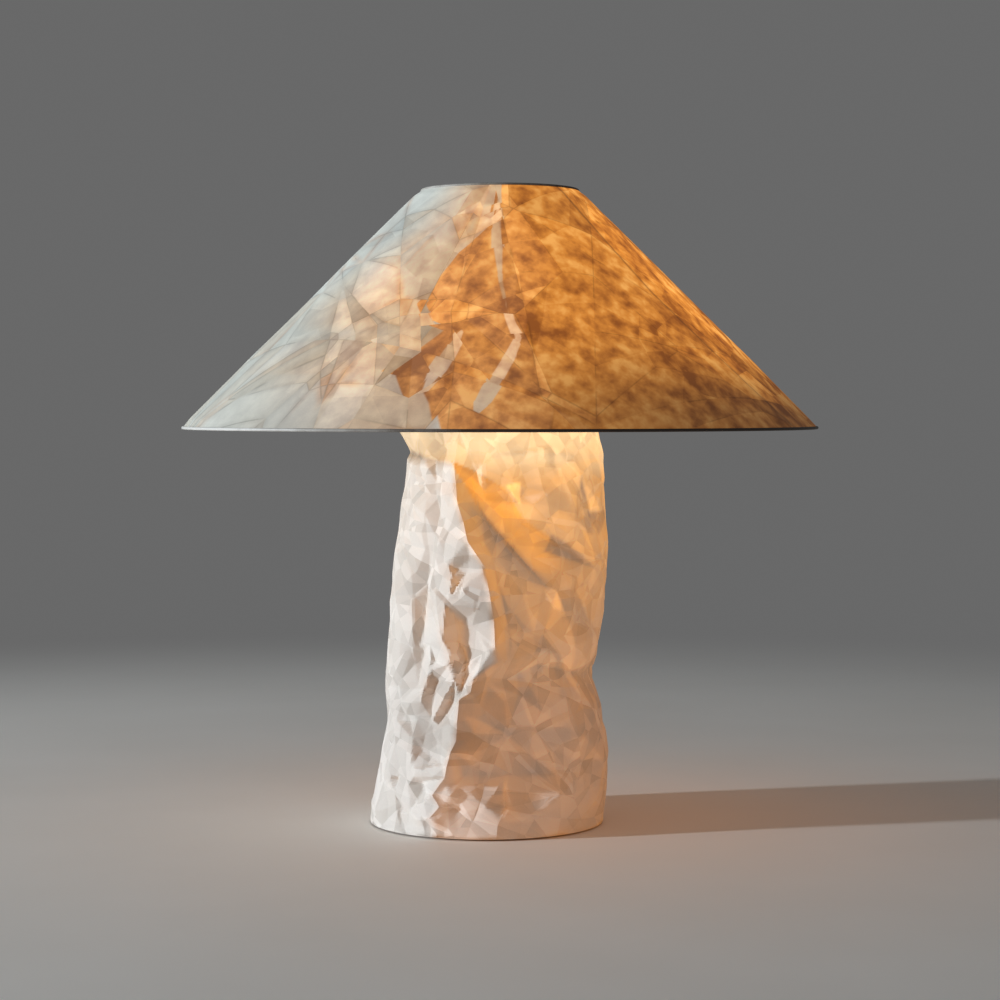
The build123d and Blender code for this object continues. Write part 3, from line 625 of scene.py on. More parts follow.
def column_light(across, up, degrees, folds, front, lit_side, collar):
    """The glow of the lamp's light in the column's paper, with painted light and shade in it, and where it
    is warmest. The glow is turned down where daylight falls on the lit side and up in its shaded hollows,
    where the folds lie deep or fall away to the front; on the front it is painted lighter or darker by how
    its facets lean; painted shade and light lie along lines and on facets of their own, and the side of
    the collar is a little dimmer."""
    sloping = np.gradient(folds, axis=1) / np.gradient(across, axis=1)
    climbing = np.gradient(folds, axis=0) / np.gradient(up, axis=0)
    # Painted shade: the glow is turned up in the hollows of the lit side, where daylight doesn't reach
    hollow = np.maximum(smooth(*HOLLOW_DEPTH, -folds), smooth(*HOLLOW_SLOPE, -sloping))
    turned = HOLLOW_LEAST + (1 - HOLLOW_LEAST) * smooth(*HOLLOW_TURNS, degrees)
    hollow = hollow * (1 - smooth(*HOLLOW_TOP, up)) * turned
    hollow = HOLLOW_SHARP * hollow + HOLLOW_SOFT * softened(hollow)
    leaning = HOLLOW_ACROSS * sloping + HOLLOW_UP * climbing
    hollow = hollow * (1 + np.clip(leaning, -HOLLOW_LEAN_MOST, HOLLOW_LEAN_MOST))
    # Painted shading: the front's glow is lighter or darker by how its facets lean
    leaning = LEAN_ACROSS * np.gradient(front, axis=1) / np.gradient(across, axis=1)
    leaning = leaning + LEAN_UP * np.gradient(front, axis=0) / np.gradient(up, axis=0)
    sideways = smooth(*COLLAR_SIDE, degrees) * (1 - smooth(*COLLAR_SIDE_END, degrees))
    # Painted light: the glow is turned down where daylight lights the paper, and a little on the side of
    # the collar
    glow_and_painted_shade = 1 - (LIT_LOSS - HOLLOW_GAIN * hollow) * lit_side * (1 - collar)
    glow_and_painted_shade = glow_and_painted_shade * (1 - COLLAR_SIDE_LOSS * collar * sideways)
    # Painted shade and light along lines beside folds and on the front's facets
    glow_and_painted_shade = glow_and_painted_shade * (1 + leaning + along_lines(across, up, FOLD_SHADE_AND_LIGHT) + facet_shade_and_light(across, up))
    below = along_lines(across, up, [(EMBER_BELOW, EMBER_EDGE, EMBER_REACH)])
    above = along_lines(across, up, [(EMBER_ABOVE, EMBER_REACH, EMBER_EDGE)])
    return glow_and_painted_shade, np.clip(EMBER_GAIN * np.minimum(below, above), 0, 1)


def over_board(turn, up, board_low, board_high):
    """How far from the stem the paper has to be to clear the round base board, whose centre is beside
    the stem. Above the board the room that it needs tapers off."""
    centre = (board_low[0] + board_high[0]) / 2
    radius = (board_high[0] - board_low[0]) / 2 + BOARD_ROOM
    radius = np.maximum(radius - BOARD_TAPER * np.maximum(0, up - board_high[2] - BOARD_MARGIN), 0)
    return centre * np.cos(turn) + np.sqrt(np.maximum(radius**2 - (centre * np.sin(turn)) ** 2, 0))


def column_piece():
    """The crumpled sleeve, in turns about the stem; one line of its grid runs along the ridge. The
    folds push the plain column out along the radius, past the ridge the front is pressed flat, and then
    the hollows, the creases of the front and the facets are added, except at the hem. The sleeve stays
    outside the cage and the base board."""
    low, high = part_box("paper_column")
    height = np.linspace(low[2], high[2], COLUMN_ROWS + 1)[:, None] / MM
    ridge, wall_creases, front_creases = column_creases()
    ridge_turn, ridge_level, _ = zip(*ridge[::-1])
    on_ridge = np.interp(height, ridge_level, ridge_turn)
    degrees = (np.arange(COLUMN_STEPS) + 0.5)[None, :] * 360 / COLUMN_STEPS
    ridge_line = degrees[0, np.abs(degrees[0] - on_ridge.mean()).argmin()]
    pull = 1 - smooth(*RIDGE_PULL, np.abs(degrees - ridge_line))
    degrees = degrees + (on_ridge - ridge_line) * pull
    turn = np.radians(degrees)
    past_ridge = degrees - on_ridge
    up = height + 0 * turn
    across = turn * COLUMN_RADIUS

    loose = smooth(*HEM_FOLDED, up)
    folds = (along_lines(across, up, COLUMN_FOLDS) + flat_between(across, up, wall_creases)) * loose
    front = flat_between(across, up, front_creases) * loose
    lit_side = smooth(*LIT_TURNS, degrees) * (1 - smooth(*LIT_END, past_ridge))
    collar_level = COLLAR_LEVEL + COLLAR_LEFT_RISE * (1 - smooth(*COLLAR_LEFT_END, degrees))
    collar = smooth(*COLLAR_START, up - collar_level)
    reach = plain_reach(turn, up) + np.maximum(folds, 0)
    pressed = smooth(*PRESSED_PAST, past_ridge) * (1 - smooth(*COLLAR_LOOSE, up - collar_level))
    reach = reach - np.maximum(reach - front_reach(turn, up), 0) * pressed

    on_front = smooth(*FRONT_PAST, past_ridge) * (1 - smooth(*FRONT_END, degrees))
    calm = (1 - LIT_CALM * lit_side - FRONT_CALM * on_front) * (1 - COLLAR_CALM * collar)
    opened = sleeve(COLUMN_RADIUS * MM, turn, up * MM)
    facets = sum(slope * rise for slope, rise in zip(COLUMN_CRUMPLE, crumple(opened))) / MM
    facets = facets * calm * smooth(*HEM_CRUMPLED, up) * (0.5 + 0.5 * smooth(*FULLY_CRUMPLED, up))
    reach = reach + np.minimum(folds, 0) + front + facets
    board_low, board_high = np.asarray(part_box("base_board")) / MM
    reach = np.maximum(np.maximum(reach, CAGE_REACH), over_board(turn, up, board_low, board_high))
    outer = sleeve(reach, turn, up)

    level = up[::2, ::2]
    above_board = smooth(*BACKING_ABOVE_BOARD, level - board_high[2])
    deep = np.minimum(above_board, smooth(*BACKING_BELOW_TOP, level[-1, 0] - level))
    inset = PAPER_THICKNESS + (PAPER_BACKING - PAPER_THICKNESS) * deep
    inner = sleeve(reach[::2, ::2] - inset, turn[::2, ::2], level)
    glow_and_painted_shade, ember = column_light(across, up, degrees, folds, front, lit_side, collar)
    attributes = {"opened": opened, "calm": calm * smooth(*HEM_CALM, up), "glow_and_painted_shade": glow_and_painted_shade, "ember": ember}
    return closed_sheet("crumpled_column", outer * MM, inner * MM, attributes)


def shade_marks(share, degrees, step):
    """How far each place of the shade lies inside the pale sheet, a pale strip and the overlapping
    sheet, and how dim it is, from its share of the way up, its turn and the millimetres in one degree
    there."""
    edge_share, edge_turn = zip(*PALE_EDGE)
    before_edge = np.interp(share, edge_share, edge_turn) - degrees
    inside = np.minimum(before_edge, degrees - np.degrees(SHADE_SEAM))
    strips = []
    for strip in PALE_STRIPS:
        strip_share, strip_turn, strip_half = zip(*strip)
        off_strip = np.abs(degrees - np.interp(share, strip_share, strip_turn)) * step
        strips.append(np.interp(share, strip_share, strip_half) - off_strip)
    lap_share, lap_turn = zip(*LAP_EDGE)
    past_lap = np.minimum(degrees - np.interp(share, lap_share, lap_turn), LAP_END - degrees) * step
    to_right = np.cos(np.radians(degrees - DIM_TURN))
    return {
        "pale": np.clip(inside / PALE_SPREAD, *PALE_MOST),
        "strip": np.maximum(np.maximum(*strips), STRIP_LEAST),
        "lap": np.clip(past_lap, *LAP_MOST),
        "dim": smooth(DIM_SHARE, 0.0, share) * (DIM_LEAST + DIM_MORE * smooth(*DIM_SPREAD, to_right)),
    }


def shade_piece():
    """The crumpled cone. A point lies on the straight slant between the two rims. Unrolled from its
    seam, the cone is a flat part of a ring; the facets of that flat sheet lift the outer face a little,
    and nothing at the rims."""
    upper_low, upper_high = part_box("shade_upper_rim")
    _, lower_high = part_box("shade_lower_rim")
    wire = (upper_high[2] - upper_low[2]) / 2
    foot_radius, foot_level = lower_high[0] - wire, lower_high[2] - wire
    run = foot_radius - (upper_high[0] - wire)
    rise = upper_high[2] - wire - foot_level
    length = hypot(run, rise)
    margin = (wire + RIM_ROOM) / length
    share = np.linspace(margin, 1 - margin, SHADE_ROWS + 1)[:, None]
    turn = SHADE_SEAM + np.linspace(0, 2 * pi - SEAM_GAP, SHADE_STEPS)[None, :]

    ring = SHADE_SCALE * (foot_radius - run * share) * length / run
    fan = (turn - SHADE_SEAM - pi) * run / length
    flat = (ring * np.sin(fan), 0 * fan, SHADE_LEVEL - ring * np.cos(fan))
    opened = np.stack(np.broadcast_arrays(*flat), axis=-1)
    relief = sum(slope * height for slope, height in zip(SHADE_RELIEF, crumple(opened))) / MM
    relief = np.clip(relief - np.percentile(relief, SHADE_RELIEF_BASE), 0, SHADE_RELIEF_MOST)
    at_rim = smooth(0, RIM_FADE, share - margin) * smooth(0, RIM_FADE, 1 - margin - share)

    def on_cone(share, turn, lift):
        reach = foot_radius - run * share + lift * rise / length
        return sleeve(reach, turn, foot_level + rise * share + lift * run / length)

    outer = on_cone(share, turn, (PAPER_THICKNESS / 2 + relief * at_rim) * MM)
    inner = on_cone(share[::SHADE_INNER_EVERY], turn[:, ::2], -PAPER_THICKNESS / 2 * MM)
    step = radians(1) * (foot_radius - run * share) / MM
    marks = shade_marks(share, np.degrees(turn) + 0 * share, step)
    attributes = {"opened": opened, "rise": share + 0 * turn, **marks}
    return closed_sheet("crumpled_shade", outer, inner, attributes)


def felt_piece():
    """The felt pad: a disc whose edge bulges, as a profile of radius and height turned about the
    board's centre, with a slight waviness of the cut edge."""
    low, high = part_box("felt_pad")
    centre = (np.asarray(low) + np.asarray(high)) / 2
    reach = (high[0] - low[0]) / 2
    deep = high[2] - low[2]
    bulge = FELT_BULGE * deep
    angle = np.linspace(-pi / 2, pi / 2, FELT_EDGE_STEPS)
    edge_radius = reach - bulge + bulge * np.cos(angle)
    edge_level = centre[2] + deep / 2 * np.sin(angle)
    radius = np.concatenate([[FELT_MIDDLE, reach / 2], edge_radius, [reach / 2, FELT_MIDDLE]])[:, None]
    level = np.concatenate([[low[2], low[2]], edge_level, [high[2], high[2]]])[:, None]
    turn = np.linspace(0, 2 * pi, FELT_STEPS, endpoint=False)[None, :]
    wave = 1 + FELT_WAVE * np.sin(7 * turn) * np.sin(3 * turn + 1)
    points = sleeve(radius * wave, turn, level) + np.array([centre[0], centre[1], 0])
    rows, steps = points.shape[:2]
    index = np.arange(rows * steps).reshape(rows, steps)
    faces = quads(index).tolist() + [index[0][::-1].tolist(), index[-1].tolist()]
    return placed("felt_disc", smooth_mesh("felt_disc", points.reshape(-1, 3), faces, FELT_EDGE_ANGLE))


def put(tree, kind, inputs=None, **settings):
    """Adds a node; inputs are values or sockets to link, keyed by the input's name or number."""
    node = tree.nodes.new(kind)
    for name, value in settings.items():
        setattr(node, name, value)
    for key, value in (inputs or {}).items():
        if isinstance(value, bpy.types.NodeSocket):
            tree.links.new(value, node.inputs[key])
        else:
            node.inputs[key].default_value = value
    return node


def math(tree, operation, first, second=0.0, third=0.0, clamp=False):
    """One arithmetic step, with sockets or plain numbers."""
    inputs = {0: first, 1: second, 2: third}
    return put(tree, "ShaderNodeMath", inputs, operation=operation, use_clamp=clamp).outputs[0]


def times(tree, first, second):
    """The product of two values."""
    return math(tree, "MULTIPLY", first, second)


def scaled(tree, value, factor, added):
    """A value times a factor, with something added."""
    return math(tree, "MULTIPLY_ADD", value, factor, added)


def step_up(tree, value, low, high):
    """Goes smoothly from 0 at low to 1 at high, upwards or, where high is the lesser, downwards."""
    inputs = {0: value, 1: low, 2: high}
    return put(tree, "ShaderNodeMapRange", inputs, interpolation_type="SMOOTHSTEP").outputs[0]


def ramp(tree, value, stops):
    """A colour ramp through (place, colour) stops."""
    node = put(tree, "ShaderNodeValToRGB", {0: value})
    ends = node.color_ramp.elements
    for place, colour in stops[1:-1]:
        ends.new(place)
    for element, (place, colour) in zip(ends, stops):
        element.position = place
        element.color = (*colour, 1)
    return node.outputs[0]


def blend_colour(tree, share, first, second, blend="MIX"):
    """Mixes two colours, each a socket or three plain numbers."""
    first, second = ((*colour, 1) if isinstance(colour, tuple) else colour for colour in (first, second))
    inputs = {0: share, 6: first, 7: second}
    return put(tree, "ShaderNodeMix", inputs, data_type="RGBA", blend_type=blend).outputs[2]


def shaded(tree, colour, value):
    """Multiplies a colour by a value."""
    level = put(tree, "ShaderNodeCombineColor", {0: value, 1: value, 2: value}).outputs[0]
    return blend_colour(tree, 1.0, colour, level, "MULTIPLY")


def noise(tree, place, scale, detail=4.0, roughness=0.5):
    """Cloudy noise at a place."""
    inputs = {"Vector": place, "Scale": scale, "Detail": detail, "Roughness": roughness}
    return put(tree, "ShaderNodeTexNoise", inputs).outputs[0]


def object_place(tree, stretch=None):
    """The surface point in the lamp's own frame, in metres, or stretched along the three directions."""
    place = put(tree, "ShaderNodeTexCoord").outputs["Object"]
    if stretch is None:
        return place
    return put(tree, "ShaderNodeMapping", {"Vector": place, "Scale": stretch}).outputs[0]


def dot(tree, place, direction):
    """How far a place lies along a direction."""
    inputs = {0: place, 1: direction}
    return put(tree, "ShaderNodeVectorMath", inputs, operation="DOT_PRODUCT").outputs["Value"]


def attribute(tree, name, output="Fac"):
    """A value painted on the piece's own points."""
    return put(tree, "ShaderNodeAttribute", attribute_name=name).outputs[output]


def new_group(name, inputs, outputs):
    """An empty shader group with named inputs, each a number or a place, and outputs that are numbers;
    gives the tree, its entry and its exit."""
    tree = bpy.data.node_groups.new(name, "ShaderNodeTree")
    for label, value in inputs.items():
        kind = "NodeSocketVector" if isinstance(value, tuple) else "NodeSocketFloat"
        tree.interface.new_socket(label, in_out="INPUT", socket_type=kind).default_value = value
    for label in outputs:
        tree.interface.new_socket(label, in_out="OUTPUT", socket_type="NodeSocketFloat")
    return tree, tree.nodes.new("NodeGroupInput"), tree.nodes.new("NodeGroupOutput")


def crumple_group():
    """The papers' folding over, point by point, so that creases stay sharp: every plane mirrors what
    lies beyond it. Gives the height of the middle, the small and the least facets in metres, a tone for
    each patch, each middle facet and each least facet, which steps at the folds, and the distance to
    the nearest crease between middle facets in metres."""
    outputs = ("Middle", "Small", "Least", "Patch", "Shard", "Facet", "Crease")
    tree, entry, leave = new_group("crumple", {"Opened place": (0, 0, 0)}, outputs)
    heights = {MIDDLE_FOLDS: "Middle", SMALL_FOLDS: "Small", FOLD_COUNT: "Least"}
    tones = {PATCH_FOLDS: "Patch", MIDDLE_FOLDS: "Shard", FOLD_COUNT: "Facet"}
    place = entry.outputs["Opened place"]
    tone = 0.0
    crease = 1.0
    for number, (normal, offset) in enumerate(FOLD_PLANES, 1):
        short = math(tree, "SUBTRACT", float(offset), dot(tree, place, normal))
        back = math(tree, "MINIMUM", short, 0.0)
        mirror = {0: back, 1: 2 * normal, 2: place}
        place = put(tree, "ShaderNodeVectorMath", mirror, operation="MULTIPLY_ADD").outputs[0]
        tone = scaled(tree, math(tree, "GREATER_THAN", short, 0.0), TONE_STEP * number, tone)
        if number <= MIDDLE_FOLDS:
            crease = math(tree, "MINIMUM", crease, math(tree, "ABSOLUTE", short))
        if number in heights:
            height = math(tree, "SUBTRACT", dot(tree, place, FOLD_READING), FOLD_MIDDLES[number - 1])
            tree.links.new(height, leave.inputs[heights[number]])
        if number in tones:
            tree.links.new(math(tree, "FRACT", tone), leave.inputs[tones[number]])
    tree.links.new(crease, leave.inputs["Crease"])
    return tree


def fibre_group():
    """Paper fibres: two noises stretched into strands that cross, and a fine tooth. Gives a tint and a
    height."""
    tree, entry, leave = new_group("paper_fibres", {"Scale": 1.0}, ("Tint", "Height"))
    strands = []
    for stretch in ((260, 1500, 420), (1500, 300, 700)):
        strand = noise(tree, object_place(tree, stretch), entry.outputs["Scale"], 2.0)
        ridge = math(tree, "ABSOLUTE", math(tree, "SUBTRACT", strand, 0.5))
        strands.append(math(tree, "SUBTRACT", 1.0, times(tree, ridge, 9.0), clamp=True))
    web = math(tree, "MAXIMUM", strands[0], strands[1])
    tooth = noise(tree, object_place(tree), times(tree, entry.outputs["Scale"], 1400.0), 3.0, 0.7)
    tree.links.new(scaled(tree, web, -0.06, 1.02), leave.inputs["Tint"])
    tree.links.new(scaled(tree, web, 0.6, tooth), leave.inputs["Height"])
    return tree


def wear_group():
    """Handling: cloudy patches and fine specks on a moulded or metal surface. Gives a tint and a
    height."""
    tree, entry, leave = new_group("handling", {"Patches": 60.0, "Specks": 900.0}, ("Tint", "Height"))
    place = object_place(tree)
    cloud = noise(tree, place, entry.outputs["Patches"], 5.0, 0.6)
    speck = noise(tree, place, entry.outputs["Specks"], 2.0, 0.6)
    tint = scaled(tree, cloud, 0.7, times(tree, speck, 0.3))
    tree.links.new(tint, leave.inputs["Tint"])
    tree.links.new(speck, leave.inputs["Height"])
    return tree


CRUMPLE = crumple_group()
PAPER_FIBRES = fibre_group()
HANDLING = wear_group()


def grouped(tree, group, inputs):
    """Places a shared group in a material with its own values."""
    return put(tree, "ShaderNodeGroup", inputs, node_tree=group).outputs


def new_finish(name, roughness, **sockets):
    """A material with its one Principled shader; gives the material, its tree and the shader."""
    material = bpy.data.materials.new(name)
    material.use_nodes = True
    tree = material.node_tree
    shader = next(node for node in tree.nodes if node.type == "BSDF_PRINCIPLED")
    shader.inputs["Roughness"].default_value = roughness
    for label, value in sockets.items():
        shader.inputs[label.replace("_", " ")].default_value = value
    return material, tree, shader


def bumped(tree, shader, height, strength=1.0, depth=1.0):
    """Feeds a height to the shader's normal; at the plain strength and depth it is in metres."""
    bump = put(tree, "ShaderNodeBump", {"Strength": strength, "Distance": depth, "Height": height})
    tree.links.new(bump.outputs[0], shader.inputs["Normal"])


def column_finish():
    """White paper that the lamp shines through: brightest at the collar, amber down the sleeve. Painted
    light and shade turn the glow down where daylight falls on it and up in its shaded hollows, and the
    warmest patch is also painted amber into its colour. Each facet passes a little more or less light."""
    material, tree, shader = new_finish("white_crumpled_paper", 0.82, Emission_Strength=1.0)
    fibres = grouped(tree, PAPER_FIBRES, {"Scale": 1.0})
    folds = grouped(tree, CRUMPLE, {"Opened place": attribute(tree, "opened", "Vector")})
    calm = attribute(tree, "calm")
    place = object_place(tree)
    ember = attribute(tree, "ember")
    either = times(tree, math(tree, "ADD", folds["Facet"], folds["Shard"]), 0.5)
    white = ramp(tree, either, ((0.1, (0.65, 0.625, 0.585)), (0.9, (0.88, 0.86, 0.825))))
    # Painted glow: the warmest patch of the lamp's light also tints the paper's colour amber
    white = blend_colour(tree, times(tree, ember, 0.8), white, (0.80, 0.62, 0.34))
    tree.links.new(shaded(tree, white, fibres["Tint"]), shader.inputs["Base Color"])

    height = put(tree, "ShaderNodeSeparateXYZ", {0: place}).outputs["Z"]
    by_height = (
        (0.0, (0.20, 0.062, 0.0)),
        (0.30, (0.23, 0.074, 0.002)),
        (0.62, (0.40, 0.156, 0.018)),
        (0.83, (0.58, 0.265, 0.055)),
        (0.90, (0.82, 0.535, 0.245)),
        (1.0, (0.92, 0.700, 0.375)),
    )
    through = ramp(tree, math(tree, "DIVIDE", height, COLUMN_HEIGHTS[-1] * MM), by_height)
    cloud = noise(tree, place, 52.0, 3.0, 0.55)
    uneven = scaled(tree, cloud, 0.64, 0.44)
    uneven = scaled(tree, folds["Facet"], 0.28, uneven)
    uneven = scaled(tree, folds["Shard"], 0.12, uneven)
    uneven = scaled(tree, folds["Small"], 10.0, uneven)
    lit = times(tree, uneven, attribute(tree, "glow_and_painted_shade"))
    amber = blend_colour(tree, times(tree, ember, 0.9), through, (0.75, 0.24, 0.0))
    tree.links.new(shaded(tree, amber, lit), shader.inputs["Emission Color"])

    relief = scaled(tree, folds["Least"], 0.30, times(tree, folds["Small"], 0.34))
    relief = times(tree, relief, calm)
    bumped(tree, shader, scaled(tree, fibres["Height"], FIBRE_RELIEF, relief))
    return material


def beside_crease(tree, folds, width):
    """1 on a crease, and nothing from a width in metres away from it."""
    return math(tree, "SUBTRACT", 1.0, step_up(tree, folds["Crease"], 0.0, width))


def pale_cover(tree, folds, place, lighter, inside, deep):
    """Where pale paper covers the amber. The sheet ends at a fold near its edge and thins out in gaps
    along creases, less so deep inside it. The strips are a little wider or narrower on each facet.
    Gives the cover and the strips alone."""
    reach = scaled(tree, math(tree, "SUBTRACT", folds["Shard"], 0.6), 0.5, inside)
    on_sheet = step_up(tree, reach, -0.02, 0.03)
    patchy = step_up(tree, noise(tree, place, 17.0, 1.0), 0.54, 0.66)
    gap = times(tree, beside_crease(tree, folds, 0.0030), patchy)
    gap = times(tree, gap, scaled(tree, deep, -0.7, 1.0))
    on_sheet = times(tree, on_sheet, scaled(tree, gap, -0.45, 1.0))
    on_strip = step_up(tree, scaled(tree, lighter, 3.6, attribute(tree, "strip")), -0.7, 0.9)
    return math(tree, "MAXIMUM", on_sheet, times(tree, on_strip, 0.85)), on_strip


def pale_colour(tree, folds, inside, deep, warm, tone):
    """The pale paper's colour: a tone between five for each facet, more even deep inside the sheet, with
    painted shading, and the lamp's glow painted in as warmth where the lamp shows through; cool away
    from there."""
    facet_colours = (
        (0.0, (0.62, 0.615, 0.580)),
        (0.25, (0.85, 0.810, 0.720)),
        (0.50, (0.76, 0.570, 0.400)),
        (0.75, (0.94, 0.925, 0.880)),
        (1.0, (0.64, 0.560, 0.460)),
    )
    pick = math(tree, "FRACT", scaled(tree, folds["Shard"], 5.7, folds["Patch"]))
    sheet = ramp(tree, pick, facet_colours)
    sheet = blend_colour(tree, times(tree, deep, 0.6), sheet, (0.83, 0.815, 0.775))
    # Painted glow: warmth where the lamp shows through multiplies the pale paper's colour
    sheet = blend_colour(tree, warm, shaded(tree, sheet, tone), (0.98, 0.82, 0.63), "MULTIPLY")
    cool = step_up(tree, inside, 0.6, 3.4)
    return blend_colour(tree, cool, sheet, (0.90, 0.955, 0.95), "MULTIPLY")


def pale_glow(tree, folds, mottle, warm, tone, on_strip):
    """The lamp's light through the pale paper: peach, more of it where the paper is warm, on thin
    facets and on the strips."""
    thin = math(tree, "FRACT", scaled(tree, folds["Shard"], 3.3, 0.2))
    seep = times(tree, scaled(tree, warm, 1.1, 0.03), scaled(tree, thin, 0.9, 0.4))
    seep = times(tree, seep, scaled(tree, on_strip, 0.3, tone))
    peach = ramp(tree, mottle, ((0.38, (0.28, 0.090, 0.015)), (0.60, (0.44, 0.250, 0.11))))
    return shaded(tree, peach, seep)


def amber_glow(tree, folds, mottle, dim, line):
    """The lamp's light through the amber paper: it follows the mottle, is dimmer at the foot and, as
    painted shade, on crease lines, a little more or less on each facet, streaky where two sheets overlap
    and darkened by a painted shadow along their edge."""
    mottle_glow = (
        (0.34, (0.250, 0.064, 0.005)),
        (0.44, (0.420, 0.125, 0.010)),
        (0.54, (0.620, 0.210, 0.020)),
        (0.66, (0.820, 0.360, 0.070)),
    )
    lit = scaled(tree, dim, -0.78, 1.0)
    # Painted shade: the glow is dimmer on the crease lines
    lit = times(tree, lit, scaled(tree, line, -0.26, 1.0))
    lit = times(tree, lit, scaled(tree, folds["Shard"], 0.30, 0.86))
    lap = attribute(tree, "lap")
    streak = noise(tree, put(tree, "ShaderNodeCombineXYZ", {0: lap}).outputs[0], 0.22, 2.0)
    overlap = times(tree, step_up(tree, lap, -0.5, 0.5), scaled(tree, streak, 0.8, -0.27))
    # A painted shadow along the edge of the overlapping sheet
    shadow = step_up(tree, math(tree, "ABSOLUTE", math(tree, "ADD", lap, 1.6)), 2.2, 0.4)
    lit = times(tree, lit, scaled(tree, shadow, -0.4, math(tree, "ADD", overlap, 1.0)))
    return shaded(tree, ramp(tree, mottle, mottle_glow), lit)


def shade_finish():
    """Two papers: mottled amber paper that the lamp shines through, and pale torn sheets laid over the
    left of it, each ending at a fold. On the right a second amber sheet overlaps the first along the
    slant. Painted shade darkens the crease lines and lies softly beside the pale sheets' creases, and the
    pale sheets carry painted shading that grows lighter towards the top."""
    material, tree, shader = new_finish("amber_and_pale_paper", 0.74, Emission_Strength=1.0)
    fibres = grouped(tree, PAPER_FIBRES, {"Scale": 0.8})
    folds = grouped(tree, CRUMPLE, {"Opened place": attribute(tree, "opened", "Vector")})
    place = object_place(tree, (1.0, 1.0, 0.7))
    lighter = math(tree, "SUBTRACT", folds["Facet"], 0.5)
    mottle = times(tree, noise(tree, place, 27.0, 2.0), 0.38)
    mottle = scaled(tree, noise(tree, place, 88.0, 3.0), 0.62, mottle)
    mottle = scaled(tree, lighter, 0.12, mottle)
    # Painted shade along the crease lines, broken up by noise
    broken = step_up(tree, noise(tree, place, 38.0, 1.0), 0.40, 0.55)
    line = times(tree, beside_crease(tree, folds, 0.0005), broken)

    inside = attribute(tree, "pale")
    deep = step_up(tree, inside, 0.6, 3.0)
    dim = attribute(tree, "dim")
    # Painted shading: the pale paper's tone rises and falls with the height of the middle facets and grows
    # lighter towards the top
    tone = scaled(tree, folds["Middle"], 7.0, scaled(tree, mottle, 0.5, 0.66))
    tone = scaled(tree, attribute(tree, "rise"), 0.16, tone)
    warm = math(tree, "SUBTRACT", 1.0, step_up(tree, inside, 0.2, 4.4))
    warm = times(tree, warm, scaled(tree, dim, -1.1, 1.0))
    pale, on_strip = pale_cover(tree, folds, place, lighter, inside, deep)

    amber_colours = (
        (0.36, (0.22, 0.120, 0.065)),
        (0.50, (0.36, 0.205, 0.110)),
        (0.64, (0.48, 0.300, 0.165)),
    )
    sheet = pale_colour(tree, folds, inside, deep, warm, tone)
    colour = blend_colour(tree, pale, ramp(tree, mottle, amber_colours), sheet)
    # Painted shade: darker on the crease lines, and a soft painted shadow beside the creases of the pale
    # sheets
    tint = scaled(tree, line, -0.24, fibres["Tint"])
    tint = scaled(tree, times(tree, beside_crease(tree, folds, 0.0030), pale), -0.12, tint)
    tree.links.new(shaded(tree, colour, tint), shader.inputs["Base Color"])

    through_amber = amber_glow(tree, folds, mottle, dim, line)
    through_pale = pale_glow(tree, folds, mottle, warm, tone, on_strip)
    tree.links.new(blend_colour(tree, pale, through_amber, through_pale), shader.inputs["Emission Color"])
    relief = scaled(tree, folds["Small"], 0.14, times(tree, folds["Middle"], 0.18))
    bumped(tree, shader, scaled(tree, fibres["Height"], FIBRE_RELIEF, relief))
    return material


def worn_finish(name, dark, light, roughness, metallic=0.0, bump=0.12):
    """A plain material whose colour and gloss drift a little between two tones, with fine specks in
    relief."""
    material, tree, shader = new_finish(name, roughness, Metallic=metallic)
    wear = grouped(tree, HANDLING, {"Patches": 60.0, "Specks": 900.0})
    tree.links.new(ramp(tree, wear["Tint"], ((0.35, dark), (0.65, light))), shader.inputs["Base Color"])
    gloss = scaled(tree, wear["Tint"], GLOSS_DRIFT, roughness - GLOSS_DRIFT / 2)
    tree.links.new(gloss, shader.inputs["Roughness"])
    bumped(tree, shader, wear["Height"], bump, HANDLING_RELIEF)
    return material


def rim_finish():
    """The rims' wire: dark brown, with a painted highlight that turns it white on the left where daylight
    falls, fading over the front; the highlight reaches further round on the upper rim."""
    material, tree, shader = new_finish("rim_wire_with_painted_highlight", 0.45)
    wear = grouped(tree, HANDLING, {"Patches": 90.0, "Specks": 900.0})
    place = put(tree, "ShaderNodeSeparateXYZ", {0: object_place(tree)}).outputs
    upper = step_up(tree, place["Z"], *BETWEEN_RIMS)
    # Painted highlight: white towards the left of each rim, dark brown over the front and the right
    share = scaled(tree, place["X"], 2.0, scaled(tree, wear["Tint"], 0.3, 0.36))
    share = scaled(tree, upper, -0.17, share)
    lit_to_shaded = (
        (0.10, (0.80, 0.79, 0.76)),
        (0.26, (0.42, 0.40, 0.37)),
        (0.46, (0.060, 0.034, 0.020)),
        (0.80, (0.030, 0.016, 0.009)),
    )
    tree.links.new(ramp(tree, share, lit_to_shaded), shader.inputs["Base Color"])
    bumped(tree, shader, wear["Height"], 0.1, HANDLING_RELIEF)
    return material


def wood_finish():
    """Birch board: thin veneers on edge and long grain on top."""
    material, tree, shader = new_finish("sanded_birch", 0.6)
    grain = noise(tree, object_place(tree, (6.0, 70.0, 70.0)), 3.0, 6.0, 0.6)
    veneers = {"Vector": object_place(tree), "Scale": 180.0, "Distortion": 0.6}
    layers = put(tree, "ShaderNodeTexWave", veneers, bands_direction="Z").outputs["Fac"]
    value = scaled(tree, grain, 0.75, times(tree, layers, 0.25))
    colour = ramp(tree, value, ((0.25, (0.42, 0.27, 0.15)), (0.75, (0.66, 0.48, 0.30))))
    tree.links.new(colour, shader.inputs["Base Color"])
    bumped(tree, shader, grain, 0.2, 0.4 * MM)
    return material


